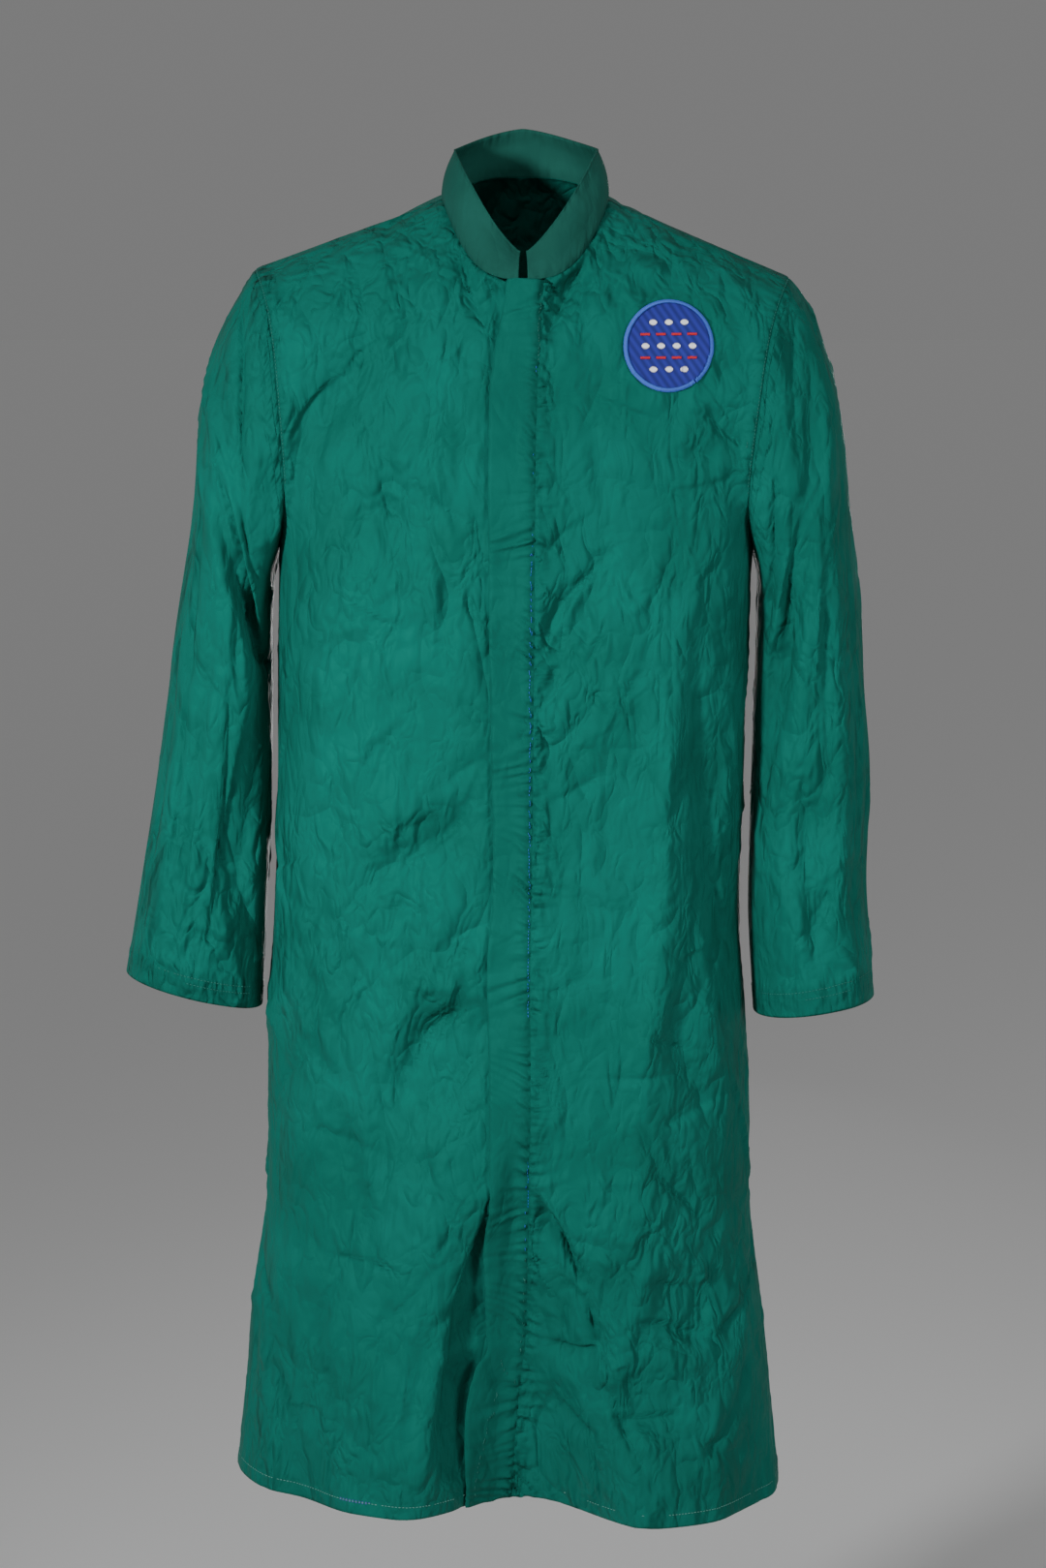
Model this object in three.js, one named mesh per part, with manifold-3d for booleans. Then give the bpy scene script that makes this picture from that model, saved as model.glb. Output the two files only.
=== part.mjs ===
// A knee-length nylon smock with a stand collar, a covered placket and long set-in sleeves.
// Millimetres. +X is the wearer's left, -Y the front, +Z up.
// The origin is the middle of the neck opening, level with the sides of the neck.
import * as THREE from 'three';
import { mergeVertices } from 'three/addons/utils/BufferGeometryUtils.js';
import Module from 'manifold-3d';

// Driving dimensions
const WALL = 2;
const SEAM_GAP = 0.3;
const LAYER_GAP = 0.3;
const SIDE_SEAM_Y = 4;
const HEM_Z = -1110;
const UNDERARM_Z = -290;
const NECK_FRONT = { y: -85, z: -64 };
const NECK_SIDE_Z = 0;
const NECK_BACK = { y: 65, z: 18 };
const PATCH = { x: 120, z: -119, radius: 38, thickness: 1.4 };
const CENTRE_TOP_DROP = 2.4;
const PLACKET_TOP_DROP = 1;
const UNDERLAP_SHORT = 0.16;

// Grid: rows up the body, columns across a panel, rings down a sleeve
const SKIRT_ROWS = 22;
const YOKE_ROWS = 12;
const FRONT_NECK_ROWS = 6;
const BACK_NECK_ROWS = 4;
const TOP_ROW = SKIRT_ROWS + YOKE_ROWS;
const FRONT_COLUMNS = 14;
const BACK_COLUMNS = 11;
const SLEEVE_RINGS = 17;
const COLLAR_ROWS = 2;

// The two sides of the wearer. Right is at -X, left at +X.
const SIDES = {
  right: {
    sign: -1,
    hemZ: -1096,
    hemDip: 2,
    neck: 67,
    collarTop: 56,
    tip: { x: 226, z: -58 },
    underarm: 207,
    armholeScoop: 13,
  },
  left: {
    sign: 1,
    hemZ: -1112,
    hemDip: 12,
    neck: 71,
    collarTop: 61,
    tip: { x: 225, z: -65 },
    underarm: 195,
    armholeScoop: 14,
  },
};
const ARMHOLE_DEPTH = { front: 78, back: 82 };
const ARMHOLE_ROUNDNESS = 2.4;

// Level sections of the body, from the hem up to the underarm.
// right and left are half-widths, front and back depths; full is 0.55 for an ellipse and more for a box.
const BODY = [
  { z: -1110, right: 250, left: 224, front: 144, back: 138, full: 0.6 },
  { z: -1040, right: 243, left: 218, front: 138, back: 133, full: 0.6 },
  { z: -950, right: 235, left: 208, front: 130, back: 128, full: 0.58 },
  { z: -860, right: 222, left: 197, front: 126, back: 124, full: 0.6 },
  { z: -770, right: 221, left: 196, front: 123, back: 120, full: 0.62 },
  { z: -690, right: 219, left: 192, front: 120, back: 117, full: 0.66 },
  { z: -610, right: 214, left: 186, front: 118, back: 115, full: 0.7 },
  { z: -490, right: 210, left: 189, front: 116, back: 113, full: 0.75 },
  { z: -390, right: 209, left: 191, front: 115, back: 112, full: 0.78 },
  { z: -290, right: 207, left: 195, front: 114, back: 112, full: 0.78 },
];

// Above the underarm a row is the body's section cut short at the armhole, and turns by and by
// into a straight line: w is the share of the armhole's half turn that is done.
const YOKE_TURN = 24;
const YOKE_FULL = 0.34;
const YOKE_STRAIGHTENS = { from: 0.28, to: 0.64 };
const CHEST = [
  { z: -290, depth: 114 },
  { z: -200, depth: 112 },
  { z: -130, depth: 103 },
  { z: -64, depth: 85 },
];
const SHOULDERS = [
  { z: -290, depth: 112 },
  { z: -200, depth: 117 },
  { z: -120, depth: 112 },
  { z: -45, depth: 92 },
  { z: 18, depth: 65 },
];

// The placket's free edge and its stitched edge, as x at each height
const PLACKET = [
  { z: -1110, free: -50, stitch: -11 },
  { z: -1036, free: -45, stitch: -6 },
  { z: -990, free: -36, stitch: -1 },
  { z: -970, free: -28, stitch: 2 },
  { z: -887, free: -29, stitch: 5 },
  { z: -752, free: -28, stitch: 6 },
  { z: -631, free: -30, stitch: 6 },
  { z: -573, free: -25, stitch: 7 },
  { z: -359, free: -28, stitch: 9 },
  { z: -167, free: -28, stitch: 11 },
  { z: -116, free: -23, stitch: 14 },
  { z: -83, free: -16, stitch: 16 },
  { z: -57, free: -12, stitch: 17 },
];

// Sleeves: the outer and inner edges of each ring, its middle in y, and its depth before and behind
const SLEEVES = {
  right: [
    { t: 0, outX: 226, outZ: -58, inX: 207, inZ: -290, y: 4, front: 78, back: 82 },
    { t: 0.12, outX: 250, outZ: -100, inX: 213, inZ: -318, y: 5, front: 82, back: 84 },
    { t: 0.25, outX: 273, outZ: -164, inX: 214, inZ: -348, y: 6, front: 82, back: 82 },
    { t: 0.4, outX: 281, outZ: -262, inX: 214, inZ: -395, y: 8, front: 79, back: 79 },
    { t: 0.55, outX: 297, outZ: -366, inX: 215, inZ: -455, y: 7, front: 74, back: 74 },
    { t: 0.7, outX: 312, outZ: -480, inX: 217, inZ: -530, y: 4, front: 70, back: 70 },
    { t: 0.85, outX: 328, outZ: -580, inX: 221, inZ: -610, y: 0, front: 66, back: 66 },
    { t: 1, outX: 341, outZ: -657, inX: 225, inZ: -687, y: -4, front: 62, back: 62 },
  ],
  left: [
    { t: 0, outX: 225, outZ: -65, inX: 195, inZ: -290, y: 4, front: 78, back: 82 },
    { t: 0.12, outX: 247, outZ: -102, inX: 200, inZ: -318, y: 5, front: 82, back: 84 },
    { t: 0.25, outX: 267, outZ: -168, inX: 200, inZ: -348, y: 6, front: 82, back: 82 },
    { t: 0.4, outX: 278, outZ: -264, inX: 199, inZ: -395, y: 8, front: 79, back: 79 },
    { t: 0.55, outX: 287, outZ: -368, inX: 197, inZ: -455, y: 7, front: 75, back: 75 },
    { t: 0.7, outX: 294, outZ: -478, inX: 195, inZ: -530, y: 4, front: 72, back: 72 },
    { t: 0.85, outX: 293, outZ: -580, inX: 194, inZ: -612, y: 0, front: 70, back: 70 },
    { t: 1, outX: 302, outZ: -677, inX: 199, inZ: -692, y: -4, front: 68, back: 68 },
  ],
};

// Folds of the panels. Each runs through three points (q, z): q is the distance round the cloth
// from the centre line and z the height. w0 and w1 are its half-widths at its start and end, depth is
// how far it sinks (a ridge is negative), and open folds stay deep to their end.
const FRONT_FOLDS = [
  { q0: -4, z0: -780, q1: -2, z1: -960, q2: 2, z2: -1125, w0: 8, w1: 60, depth: 88, open: true },
  { q0: -50, z0: -30, q1: -34, z1: -80, q2: -22, z2: -150, w0: 12, w1: 12, depth: 7, open: false },
  { q0: 62, z0: -30, q1: 38, z1: -75, q2: 14, z2: -125, w0: 12, w1: 14, depth: 8, open: false },
  { q0: -215, z0: -205, q1: -158, z1: -146, q2: -108, z2: -112, w0: 18, w1: 22, depth: 9, open: false },
  { q0: -108, z0: -150, q1: -104, z1: -260, q2: -98, z2: -400, w0: 16, w1: 14, depth: 6, open: false },
  { q0: 92, z0: -270, q1: 46, z1: -345, q2: 10, z2: -400, w0: 20, w1: 18, depth: 7, open: false },
  { q0: -24, z0: -480, q1: -69, z1: -530, q2: -116, z2: -566, w0: 20, w1: 20, depth: 8, open: false },
  { q0: -20, z0: -655, q1: -84, z1: -700, q2: -108, z2: -800, w0: 22, w1: 24, depth: 14, open: false },
  { q0: 130, z0: -340, q1: 122, z1: -600, q2: 100, z2: -860, w0: 14, w1: 16, depth: -9, open: false },
  { q0: 168, z0: -330, q1: 176, z1: -480, q2: 186, z2: -650, w0: 20, w1: 20, depth: 9, open: false },
  { q0: 100, z0: -905, q1: 146, z1: -945, q2: 190, z2: -940, w0: 20, w1: 20, depth: 12, open: false },
  { q0: 60, z0: -985, q1: 108, z1: -1012, q2: 158, z2: -1016, w0: 22, w1: 20, depth: 13, open: false },
  { q0: -212, z0: -960, q1: -206, z1: -1020, q2: -196, z2: -1125, w0: 16, w1: 26, depth: 14, open: true },
  { q0: 205, z0: -980, q1: 214, z1: -1040, q2: 220, z2: -1125, w0: 16, w1: 26, depth: 12, open: true },
];
const BACK_FOLDS = [
  { q0: 0, z0: -330, q1: 4, z1: -700, q2: -6, z2: -1125, w0: 22, w1: 44, depth: 26, open: true },
  { q0: -108, z0: -240, q1: -100, z1: -640, q2: -118, z2: -1125, w0: 20, w1: 40, depth: 22, open: true },
  { q0: 104, z0: -270, q1: 112, z1: -660, q2: 106, z2: -1125, w0: 20, w1: 38, depth: 24, open: true },
  { q0: -200, z0: -420, q1: -190, z1: -760, q2: -196, z2: -1125, w0: 18, w1: 34, depth: 16, open: true },
  { q0: 184, z0: -460, q1: 190, z1: -800, q2: 186, z2: -1125, w0: 18, w1: 34, depth: 16, open: true },
  { q0: -190, z0: -220, q1: -120, z1: -170, q2: -60, z2: -150, w0: 18, w1: 18, depth: 8, open: false },
  { q0: 182, z0: -225, q1: 120, z1: -180, q2: 56, z2: -165, w0: 18, w1: 18, depth: 8, open: false },
];

// Folds of the sleeves, through three points (turn, t): turn is in degrees round the ring, 0 outside,
// 90 in front, 180 against the body and 270 behind, and t the share of the way to the cuff.
const SLEEVE_FOLDS = {
  right: [
    { a0: 50, t0: 0.27, a1: 100, t1: 0.33, a2: 165, t2: 0.42, width: 20, depth: 13 },
    { a0: 78, t0: 0.5, a1: 72, t1: 0.72, a2: 78, t2: 0.92, width: 15, depth: 10 },
    { a0: 150, t0: 0.5, a1: 135, t1: 0.7, a2: 120, t2: 0.98, width: 18, depth: 9 },
    { a0: 30, t0: 0.17, a1: 62, t1: 0.2, a2: 95, t2: 0.24, width: 16, depth: 8 },
    { a0: 318, t0: 0.28, a1: 262, t1: 0.36, a2: 205, t2: 0.44, width: 16, depth: 11 },
    { a0: 300, t0: 0.5, a1: 288, t1: 0.7, a2: 282, t2: 0.94, width: 16, depth: 9 },
  ],
  left: [
    { a0: 92, t0: 0.25, a1: 108, t1: 0.42, a2: 158, t2: 0.58, width: 20, depth: 15 },
    { a0: 120, t0: 0.18, a1: 138, t1: 0.25, a2: 160, t2: 0.34, width: 16, depth: 7 },
    { a0: 50, t0: 0.13, a1: 72, t1: 0.19, a2: 84, t2: 0.27, width: 16, depth: 8 },
    { a0: 100, t0: 0.62, a1: 84, t1: 0.78, a2: 76, t2: 0.96, width: 16, depth: 9 },
    { a0: 312, t0: 0.26, a1: 258, t1: 0.35, a2: 205, t2: 0.46, width: 16, depth: 11 },
    { a0: 296, t0: 0.52, a1: 286, t1: 0.72, a2: 290, t2: 0.95, width: 16, depth: 9 },
  ],
};
const ARM_RADIUS = 66;
const ARM_LENGTH = 520;

const CLOTH = { color: 0x1a6b5e, roughness: 0.42, metalness: 0 };
const COLLAR_CLOTH = { color: 0x235a4d, roughness: 0.5, metalness: 0 };
const PATCH_CLOTH = { color: 0x33408f, roughness: 0.7, metalness: 0 };

const lerp = THREE.MathUtils.lerp;
const clamp = THREE.MathUtils.clamp;
const radians = THREE.MathUtils.degToRad;

// Rises smoothly from 0 at one value to 1 at the other, which may be the smaller one
function smooth(value, from, to) {
  const u = clamp((value - from) / (to - from), 0, 1);
  return u * u * (3 - 2 * u);
}

// A table's row at any place between its own rows, smooth through all of them
function lookup(rows, key, at) {
  const place = clamp(at, rows[0][key], rows[rows.length - 1][key]);
  let i = 0;
  while (i < rows.length - 2 && place > rows[i + 1][key]) i += 1;
  const step = rows[i + 1][key] - rows[i][key];
  const u = (place - rows[i][key]) / step;
  const slope = (k, column) => {
    const before = rows[Math.max(k - 1, 0)];
    const after = rows[Math.min(k + 1, rows.length - 1)];
    return (after[column] - before[column]) / (after[key] - before[key]);
  };
  const found = {};
  for (const column of Object.keys(rows[0])) {
    const m0 = slope(i, column) * step;
    const m1 = slope(i + 1, column) * step;
    const p0 = rows[i][column];
    const p1 = rows[i + 1][column];
    const bend = (2 * u ** 3 - 3 * u ** 2 + 1) * p0 + (u ** 3 - 2 * u ** 2 + u) * m0;
    found[column] = bend + (3 * u ** 2 - 2 * u ** 3) * p1 + (u ** 3 - u ** 2) * m1;
  }
  return found;
}

// A point of a rounded box's outline: cosine and sine with squarer corners
function squircle(angle, roundness) {
  const c = Math.cos(angle);
  const s = Math.sin(angle);
  const power = 2 / roundness;
  return { c: Math.sign(c) * Math.abs(c) ** power, s: Math.sign(s) * Math.abs(s) ** power };
}

// The armhole seam. angle 0 is the shoulder tip, pi the underarm; face is -1 in front, 1 behind.
function armhole(side, face, angle) {
  const { c, s } = squircle(angle, ARMHOLE_ROUNDNESS);
  const scoop = side.armholeScoop * (1 - c ** 4);
  const x = (side.tip.x + side.underarm) / 2 + ((side.tip.x - side.underarm) / 2) * c - scoop;
  const z = (side.tip.z + UNDERARM_Z) / 2 + ((side.tip.z - UNDERARM_Z) / 2) * c;
  const depth = face < 0 ? ARMHOLE_DEPTH.front : ARMHOLE_DEPTH.back;
  return new THREE.Vector3(side.sign * x, SIDE_SEAM_Y + face * depth * s, z);
}

// The direction through the cloth at the armhole seam, the same for both pieces in the upper half
function armholeOut(side, face, angle, ofSleeve) {
  const c = Math.max(Math.cos(angle), 0);
  const s = Math.sin(Math.min(angle, Math.PI / 2));
  const shared = new THREE.Vector3(side.sign * (0.64 * c + 0.3 * s), face * 0.95 * s, 0.77 * c);
  const low = clamp(-Math.cos(angle) * 1.3, 0, 1);
  const own = ofSleeve ? new THREE.Vector3(-side.sign, 0, -0.25) : new THREE.Vector3(side.sign, 0, 0);
  return shared.normalize().lerp(own.normalize(), low).normalize();
}

// The neck seam. angle 0 is the centre front or back, pi/2 the shoulder.
function neck(side, face, angle) {
  const end = face < 0 ? NECK_FRONT : NECK_BACK;
  const lift = Math.sin(angle) ** 3;
  const x = side.sign * side.neck * Math.sin(angle);
  return new THREE.Vector3(x, end.y * Math.cos(angle), lerp(end.z, NECK_SIDE_Z, lift));
}

// The direction through the cloth at the neck seam, the same for the panels and the collar
function neckOut(side, face, angle) {
  const middle = face < 0 ? 32 : 16;
  const rise = radians(lerp(middle, 42, Math.sin(angle) ** 2));
  const flat = new THREE.Vector3(side.sign * Math.sin(angle), face * Math.cos(angle), 0).normalize();
  return flat.multiplyScalar(Math.cos(rise)).setZ(Math.sin(rise));
}

// The direction in the cloth from the neck seam down into the panels
function neckAway(side, face, angle) {
  const step = 0.01;
  const along = neck(side, face, angle + step).sub(neck(side, face, angle - step));
  const away = neckOut(side, face, angle).cross(along).normalize();
  return away.z > 0 ? away.negate() : away;
}

// The direction from the panels to the sleeve at the armhole seam
function armholeApart(side, angle) {
  return new THREE.Vector3(side.sign, 0, -0.6 * Math.max(Math.cos(angle), 0)).normalize();
}

// Where the neck seam meets the top of the centre-front edge on each side
const LEFT_NECK_START = Math.asin(lookup(PLACKET, 'z', NECK_FRONT.z).stitch / SIDES.left.neck);

function neckAngle(side, face, w) {
  const rows = face < 0 ? FRONT_NECK_ROWS : BACK_NECK_ROWS;
  const start = face < 0 && side.sign > 0 ? LEFT_NECK_START : 0;
  const share = (w * YOKE_ROWS - (YOKE_ROWS - rows)) / rows;
  return share <= 0 ? null : lerp(start, Math.PI / 2, share);
}

// The first part of a section's curve, as far as the depth y, widened to end at the point end
function cutSection(start, leave, width, full, end) {
  const p1 = start.clone().addScaledVector(leave, full * (width - Math.abs(start.x)));
  const p2 = new THREE.Vector3(Math.sign(end.x) * width, lerp(SIDE_SEAM_Y, start.y, full), end.z);
  const p3 = new THREE.Vector3(Math.sign(end.x) * width, SIDE_SEAM_Y, end.z);
  const whole = new THREE.CubicBezierCurve3(start, p1, p2, p3);
  let low = 0;
  let high = 1;
  for (let i = 0; i < 24; i += 1) {
    const middle = (low + high) / 2;
    if (Math.abs(whole.getPoint(middle).y) > Math.abs(end.y)) low = middle;
    else high = middle;
  }
  const first = start.clone().lerp(p1, low);
  const second = first.clone().lerp(p1.clone().lerp(p2, low), low);
  const stretch = low > 0 ? end.x / whole.getPoint(low).x : 1;
  return { first: first.setX(first.x * stretch), second: second.setX(second.x * stretch) };
}

// One row of a panel's cloth, from the centre line to the side seam or armhole, as a smooth curve
const rowCache = new Map();
function rowCurve(side, face, v) {
  const name = `${side.sign} ${face} ${v.toFixed(4)}`;
  if (!rowCache.has(name)) {
    const curve = v <= SKIRT_ROWS ? skirtRow(side, face, v) : yokeRow(side, face, v);
    curve.arcLengthDivisions = 60;
    rowCache.set(name, curve);
  }
  return rowCache.get(name);
}

function skirtRow(side, face, v) {
  const z = lerp(HEM_Z, UNDERARM_Z, v / SKIRT_ROWS);
  const section = lookup(BODY, 'z', z);
  const width = side.sign * (side.sign > 0 ? section.left : section.right);
  const depth = face * (face < 0 ? section.front : section.back);
  const sideZ = lerp(side.hemZ, UNDERARM_Z, v / SKIRT_ROWS);
  const start = new THREE.Vector3(0, depth, z);
  const dip = side.hemDip * smooth(v, SKIRT_ROWS / 2, 0) * (face < 0 ? 1 : 0);
  const first = new THREE.Vector3(width * section.full, depth, z - dip);
  const second = new THREE.Vector3(width, lerp(SIDE_SEAM_Y, depth, section.full), sideZ - dip);
  const end = new THREE.Vector3(width, SIDE_SEAM_Y, sideZ);
  return new THREE.CubicBezierCurve3(start, first, second, end);
}

function yokeRow(side, face, v) {
  const w = Math.min((v - SKIRT_ROWS) / YOKE_ROWS, 1);
  const neckRows = face < 0 ? FRONT_NECK_ROWS : BACK_NECK_ROWS;
  const angle = neckAngle(side, face, w);
  const end = armhole(side, face, Math.PI * (1 - w));
  const leave = new THREE.Vector3(side.sign, 0, 0);
  let start;
  if (angle === null) {
    const top = face < 0 ? NECK_FRONT.z - CENTRE_TOP_DROP : NECK_BACK.z;
    const z = lerp(UNDERARM_Z, top, (w * YOKE_ROWS) / (YOKE_ROWS - neckRows));
    start = new THREE.Vector3(0, face * lookup(face < 0 ? CHEST : SHOULDERS, 'z', z).depth, z);
  } else {
    start = neck(side, face, angle);
    leave.lerp(end.clone().sub(start).normalize(), Math.sin(angle)).normalize();
  }
  const underarm = lookup(BODY, 'z', UNDERARM_Z);
  const cut = cutSection(start, leave, side.underarm, underarm.full, end);
  const across = Math.abs(end.x - start.x);
  const turn = radians(YOKE_TURN);
  const arrive = new THREE.Vector3(side.sign * Math.cos(turn), -face * Math.sin(turn), 0);
  arrive.lerp(end.clone().sub(start).normalize(), smooth(w, 0.6, 1)).normalize();
  const first = start.clone().addScaledVector(leave, YOKE_FULL * across);
  const second = end.clone().addScaledVector(arrive, -YOKE_FULL * across);
  const straight = smooth(w, YOKE_STRAIGHTENS.from, YOKE_STRAIGHTENS.to);
  cut.first.lerp(first, straight);
  cut.second.lerp(second, straight);
  return new THREE.CubicBezierCurve3(start, cut.first, cut.second, end);
}

// How deep the folds are at a place (q, z) of a panel
function foldDepth(folds, q, z) {
  let total = 0;
  for (const fold of folds) {
    let nearest = Infinity;
    let along = 0;
    const steps = 14;
    for (let i = 0; i <= steps; i += 1) {
      const u = i / steps;
      const fq = (1 - u) ** 2 * fold.q0 + 2 * u * (1 - u) * fold.q1 + u ** 2 * fold.q2;
      const fz = (1 - u) ** 2 * fold.z0 + 2 * u * (1 - u) * fold.z1 + u ** 2 * fold.z2;
      const near = (q - fq) ** 2 + (z - fz) ** 2;
      if (near < nearest) {
        nearest = near;
        along = u;
      }
    }
    const width = lerp(fold.w0, fold.w1, along);
    const share = Math.min(Math.sqrt(nearest) / (2 * width), 1);
    const across = Math.cos((share * Math.PI) / 2) ** 2;
    const taper = fold.open ? along ** 0.9 : Math.sin(Math.PI * clamp(along, 0.08, 0.92));
    total += fold.depth * across * taper;
  }
  return total;
}

// A point of the front or back cloth. q is the distance from the centre line, positive to the left.
function bodyPoint(face, q, v) {
  const side = q >= 0 ? SIDES.left : SIDES.right;
  const curve = rowCurve(side, face, v);
  const length = curve.getLength();
  const along = Math.abs(q) - Math.abs(curve.v0.x);
  const u = clamp(along / length, 0, 1);
  const point = curve.getPointAt(u);
  const neckStart = TOP_ROW - (face < 0 ? FRONT_NECK_ROWS : BACK_NECK_ROWS);
  const clearOfNeck = lerp(1, smooth(along, 0, 25), smooth(v, neckStart - 1, neckStart));
  const edge = smooth(u, 1, 0.82) * smooth(v, TOP_ROW, TOP_ROW - 4) * clearOfNeck;
  const depth = foldDepth(face < 0 ? FRONT_FOLDS : BACK_FOLDS, q, point.z) * edge;
  const inward = -face * depth;
  const flare = depth * 0.1 * Math.sign(q) * smooth(Math.abs(q), 60, 200);
  return point.add(new THREE.Vector3(-flare, inward, 0));
}

function rowLength(side, face, v) {
  const curve = rowCurve(side, face, v);
  return Math.abs(curve.v0.x) + curve.getLength();
}

// The direction out of the cloth, from the surface's own slopes
function outward(point, across, up) {
  return across.sub(point).cross(up.sub(point)).normalize();
}

function bodyOut(face, side, q, v) {
  const step = 2;
  const back = q * side.sign > rowLength(side, face, v) - step ? -1 : 1;
  const down = v > TOP_ROW - 0.1 ? -1 : 1;
  const here = bodyPoint(face, q, v);
  const across = bodyPoint(face, q + step * side.sign * back, v);
  const up = bodyPoint(face, q, v + 0.05 * down);
  return outward(here, across, up).multiplyScalar(-face * side.sign * back * down);
}

// A wall of cloth from its outer points, the directions through it, and its triangles.
// Every open edge gets a rim.
function wall(points, directions, faces, thickness) {
  const outer = points.length;
  const corners = [...points];
  points.forEach((point, i) => corners.push(point.clone().addScaledVector(directions[i], -thickness)));
  const triangles = [];
  const edges = new Map();
  for (const [a, b, c] of faces) {
    triangles.push(a, b, c);
    triangles.push(a + outer, c + outer, b + outer);
    for (const [from, to] of [[a, b], [b, c], [c, a]]) {
      if (edges.has(`${to} ${from}`)) edges.delete(`${to} ${from}`);
      else edges.set(`${from} ${to}`, [from, to]);
    }
  }
  for (const [from, to] of edges.values()) {
    const straight = corners[from].distanceTo(corners[to + outer]);
    const crossed = corners[to].distanceTo(corners[from + outer]);
    if (straight < crossed) triangles.push(from, from + outer, to + outer, from, to + outer, to);
    else triangles.push(from, from + outer, to, from + outer, to + outer, to);
  }
  const geometry = new THREE.BufferGeometry();
  geometry.setAttribute('position', new THREE.Float32BufferAttribute(corners.flatMap((p) => p.toArray()), 3));
  geometry.setIndex(triangles);
  return mergeVertices(geometry, 1e-6);
}

// The two triangles of a quad, split along the shorter diagonal of the cloth that it lies on
function splitQuad([a, b, c, d], cloth) {
  const acrossFirst = cloth[a].distanceTo(cloth[c]) <= cloth[b].distanceTo(cloth[d]);
  return acrossFirst ? [[a, b, c], [a, c, d]] : [[a, b, d], [b, c, d]];
}

// The triangles of a grid of points. flip turns their faces round.
function gridFaces(rows, columns, flip, cloth) {
  const faces = [];
  for (let i = 0; i < rows; i += 1) {
    for (let j = 0; j < columns; j += 1) {
      const a = i * (columns + 1) + j;
      faces.push(...splitQuad([a, a + 1, a + columns + 2, a + columns + 1], cloth));
    }
  }
  return flip ? faces.map(([a, b, c]) => [c, b, a]) : faces;
}

// The places across a panel, from its centre edge to its side edge
function frontPlaces(side, v) {
  const end = rowLength(side, -1, v);
  const z = rowCurve(side, -1, v).v0.z;
  const inNeck = v > TOP_ROW - FRONT_NECK_ROWS;
  const places = [];
  if (inNeck) {
    const start = Math.abs(rowCurve(side, -1, v).v0.x);
    for (let j = 0; j <= FRONT_COLUMNS; j += 1) places.push(lerp(start, end, j / FRONT_COLUMNS));
  } else if (side.sign > 0) {
    const { stitch } = lookup(PLACKET, 'z', z);
    for (let j = 0; j <= FRONT_COLUMNS; j += 1) places.push(lerp(stitch, end, j / FRONT_COLUMNS));
  } else {
    const free = -lookup(PLACKET, 'z', z).free;
    const underlap = underlapAt(z);
    for (let j = 0; j < 2; j += 1) places.push(lerp(underlap, free, j / 2));
    for (let j = 2; j <= FRONT_COLUMNS; j += 1) {
      places.push(lerp(free, end, (j - 2) / (FRONT_COLUMNS - 2)));
    }
  }
  return places.map((q) => q * side.sign);
}

// The edge of the right front under the placket, a little short of the placket's stitched edge
function underlapAt(z) {
  const { stitch, free } = lookup(PLACKET, 'z', z);
  return -lerp(stitch, free, UNDERLAP_SHORT);
}

// How far the left front lies out beside the placket, and no longer at the collar
function lapRise(q, v) {
  const { stitch } = lookup(PLACKET, 'z', rowCurve(SIDES.left, -1, v).v0.z);
  const neckStart = TOP_ROW - FRONT_NECK_ROWS;
  return (WALL + LAYER_GAP) * smooth(q, stitch + 45, stitch) * smooth(v, neckStart, neckStart - 2);
}

// One half of a panel: a grid of outer points and the directions through the cloth
function halfPanel(side, face, placesAt, rise) {
  const points = [];
  const directions = [];
  const neckStart = TOP_ROW - (face < 0 ? FRONT_NECK_ROWS : BACK_NECK_ROWS);
  for (let v = 0; v <= TOP_ROW; v += 1) {
    const places = placesAt(v);
    const last = places.length - 1;
    const outs = places.map((q) => bodyOut(face, side, q, v));
    const around = Math.PI * (1 - (v - SKIRT_ROWS) / YOKE_ROWS);
    const corner = face < 0 && side.sign > 0 ? LEFT_NECK_START : 0;
    const neckTurn = v < neckStart ? null : neckAngle(side, face, (v - SKIRT_ROWS) / YOKE_ROWS) ?? corner;
    if (neckTurn !== null) outs[0] = neckOut(side, face, neckTurn);
    outs[last] = v < SKIRT_ROWS ? new THREE.Vector3(side.sign, 0, 0) : armholeOut(side, face, around, false);
    if (v === TOP_ROW) {
      for (let j = 1; j < last; j += 1) {
        outs[j] = outs[0].clone().lerp(outs[last], j / last).setY(0).normalize();
      }
    }
    const row = places.map((q, j) => bodyPoint(face, q, v).addScaledVector(outs[j], rise(q, v)));
    if (v === neckStart && corner > 0) row[0] = neck(side, face, corner);
    if (v < SKIRT_ROWS) row[last].y += (face * SEAM_GAP) / 2;
    else row[last].addScaledVector(armholeApart(side, around), -SEAM_GAP / 2);
    if (v === TOP_ROW) row.forEach((point) => point.setY(point.y + (face * SEAM_GAP) / 2));
    if (neckTurn !== null) row[0].addScaledVector(neckAway(side, face, neckTurn), SEAM_GAP / 2);
    points.push(row);
    directions.push(outs);
  }
  return { points, directions };
}

function frontPanel(side) {
  const rise = side.sign > 0 ? lapRise : () => 0;
  const half = halfPanel(side, -1, (v) => frontPlaces(side, v), rise);
  const cloth = half.points.flat();
  const faces = gridFaces(TOP_ROW, FRONT_COLUMNS, side.sign < 0, cloth);
  return { ...half, geometry: wall(cloth, half.directions.flat(), faces, WALL) };
}

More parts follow.
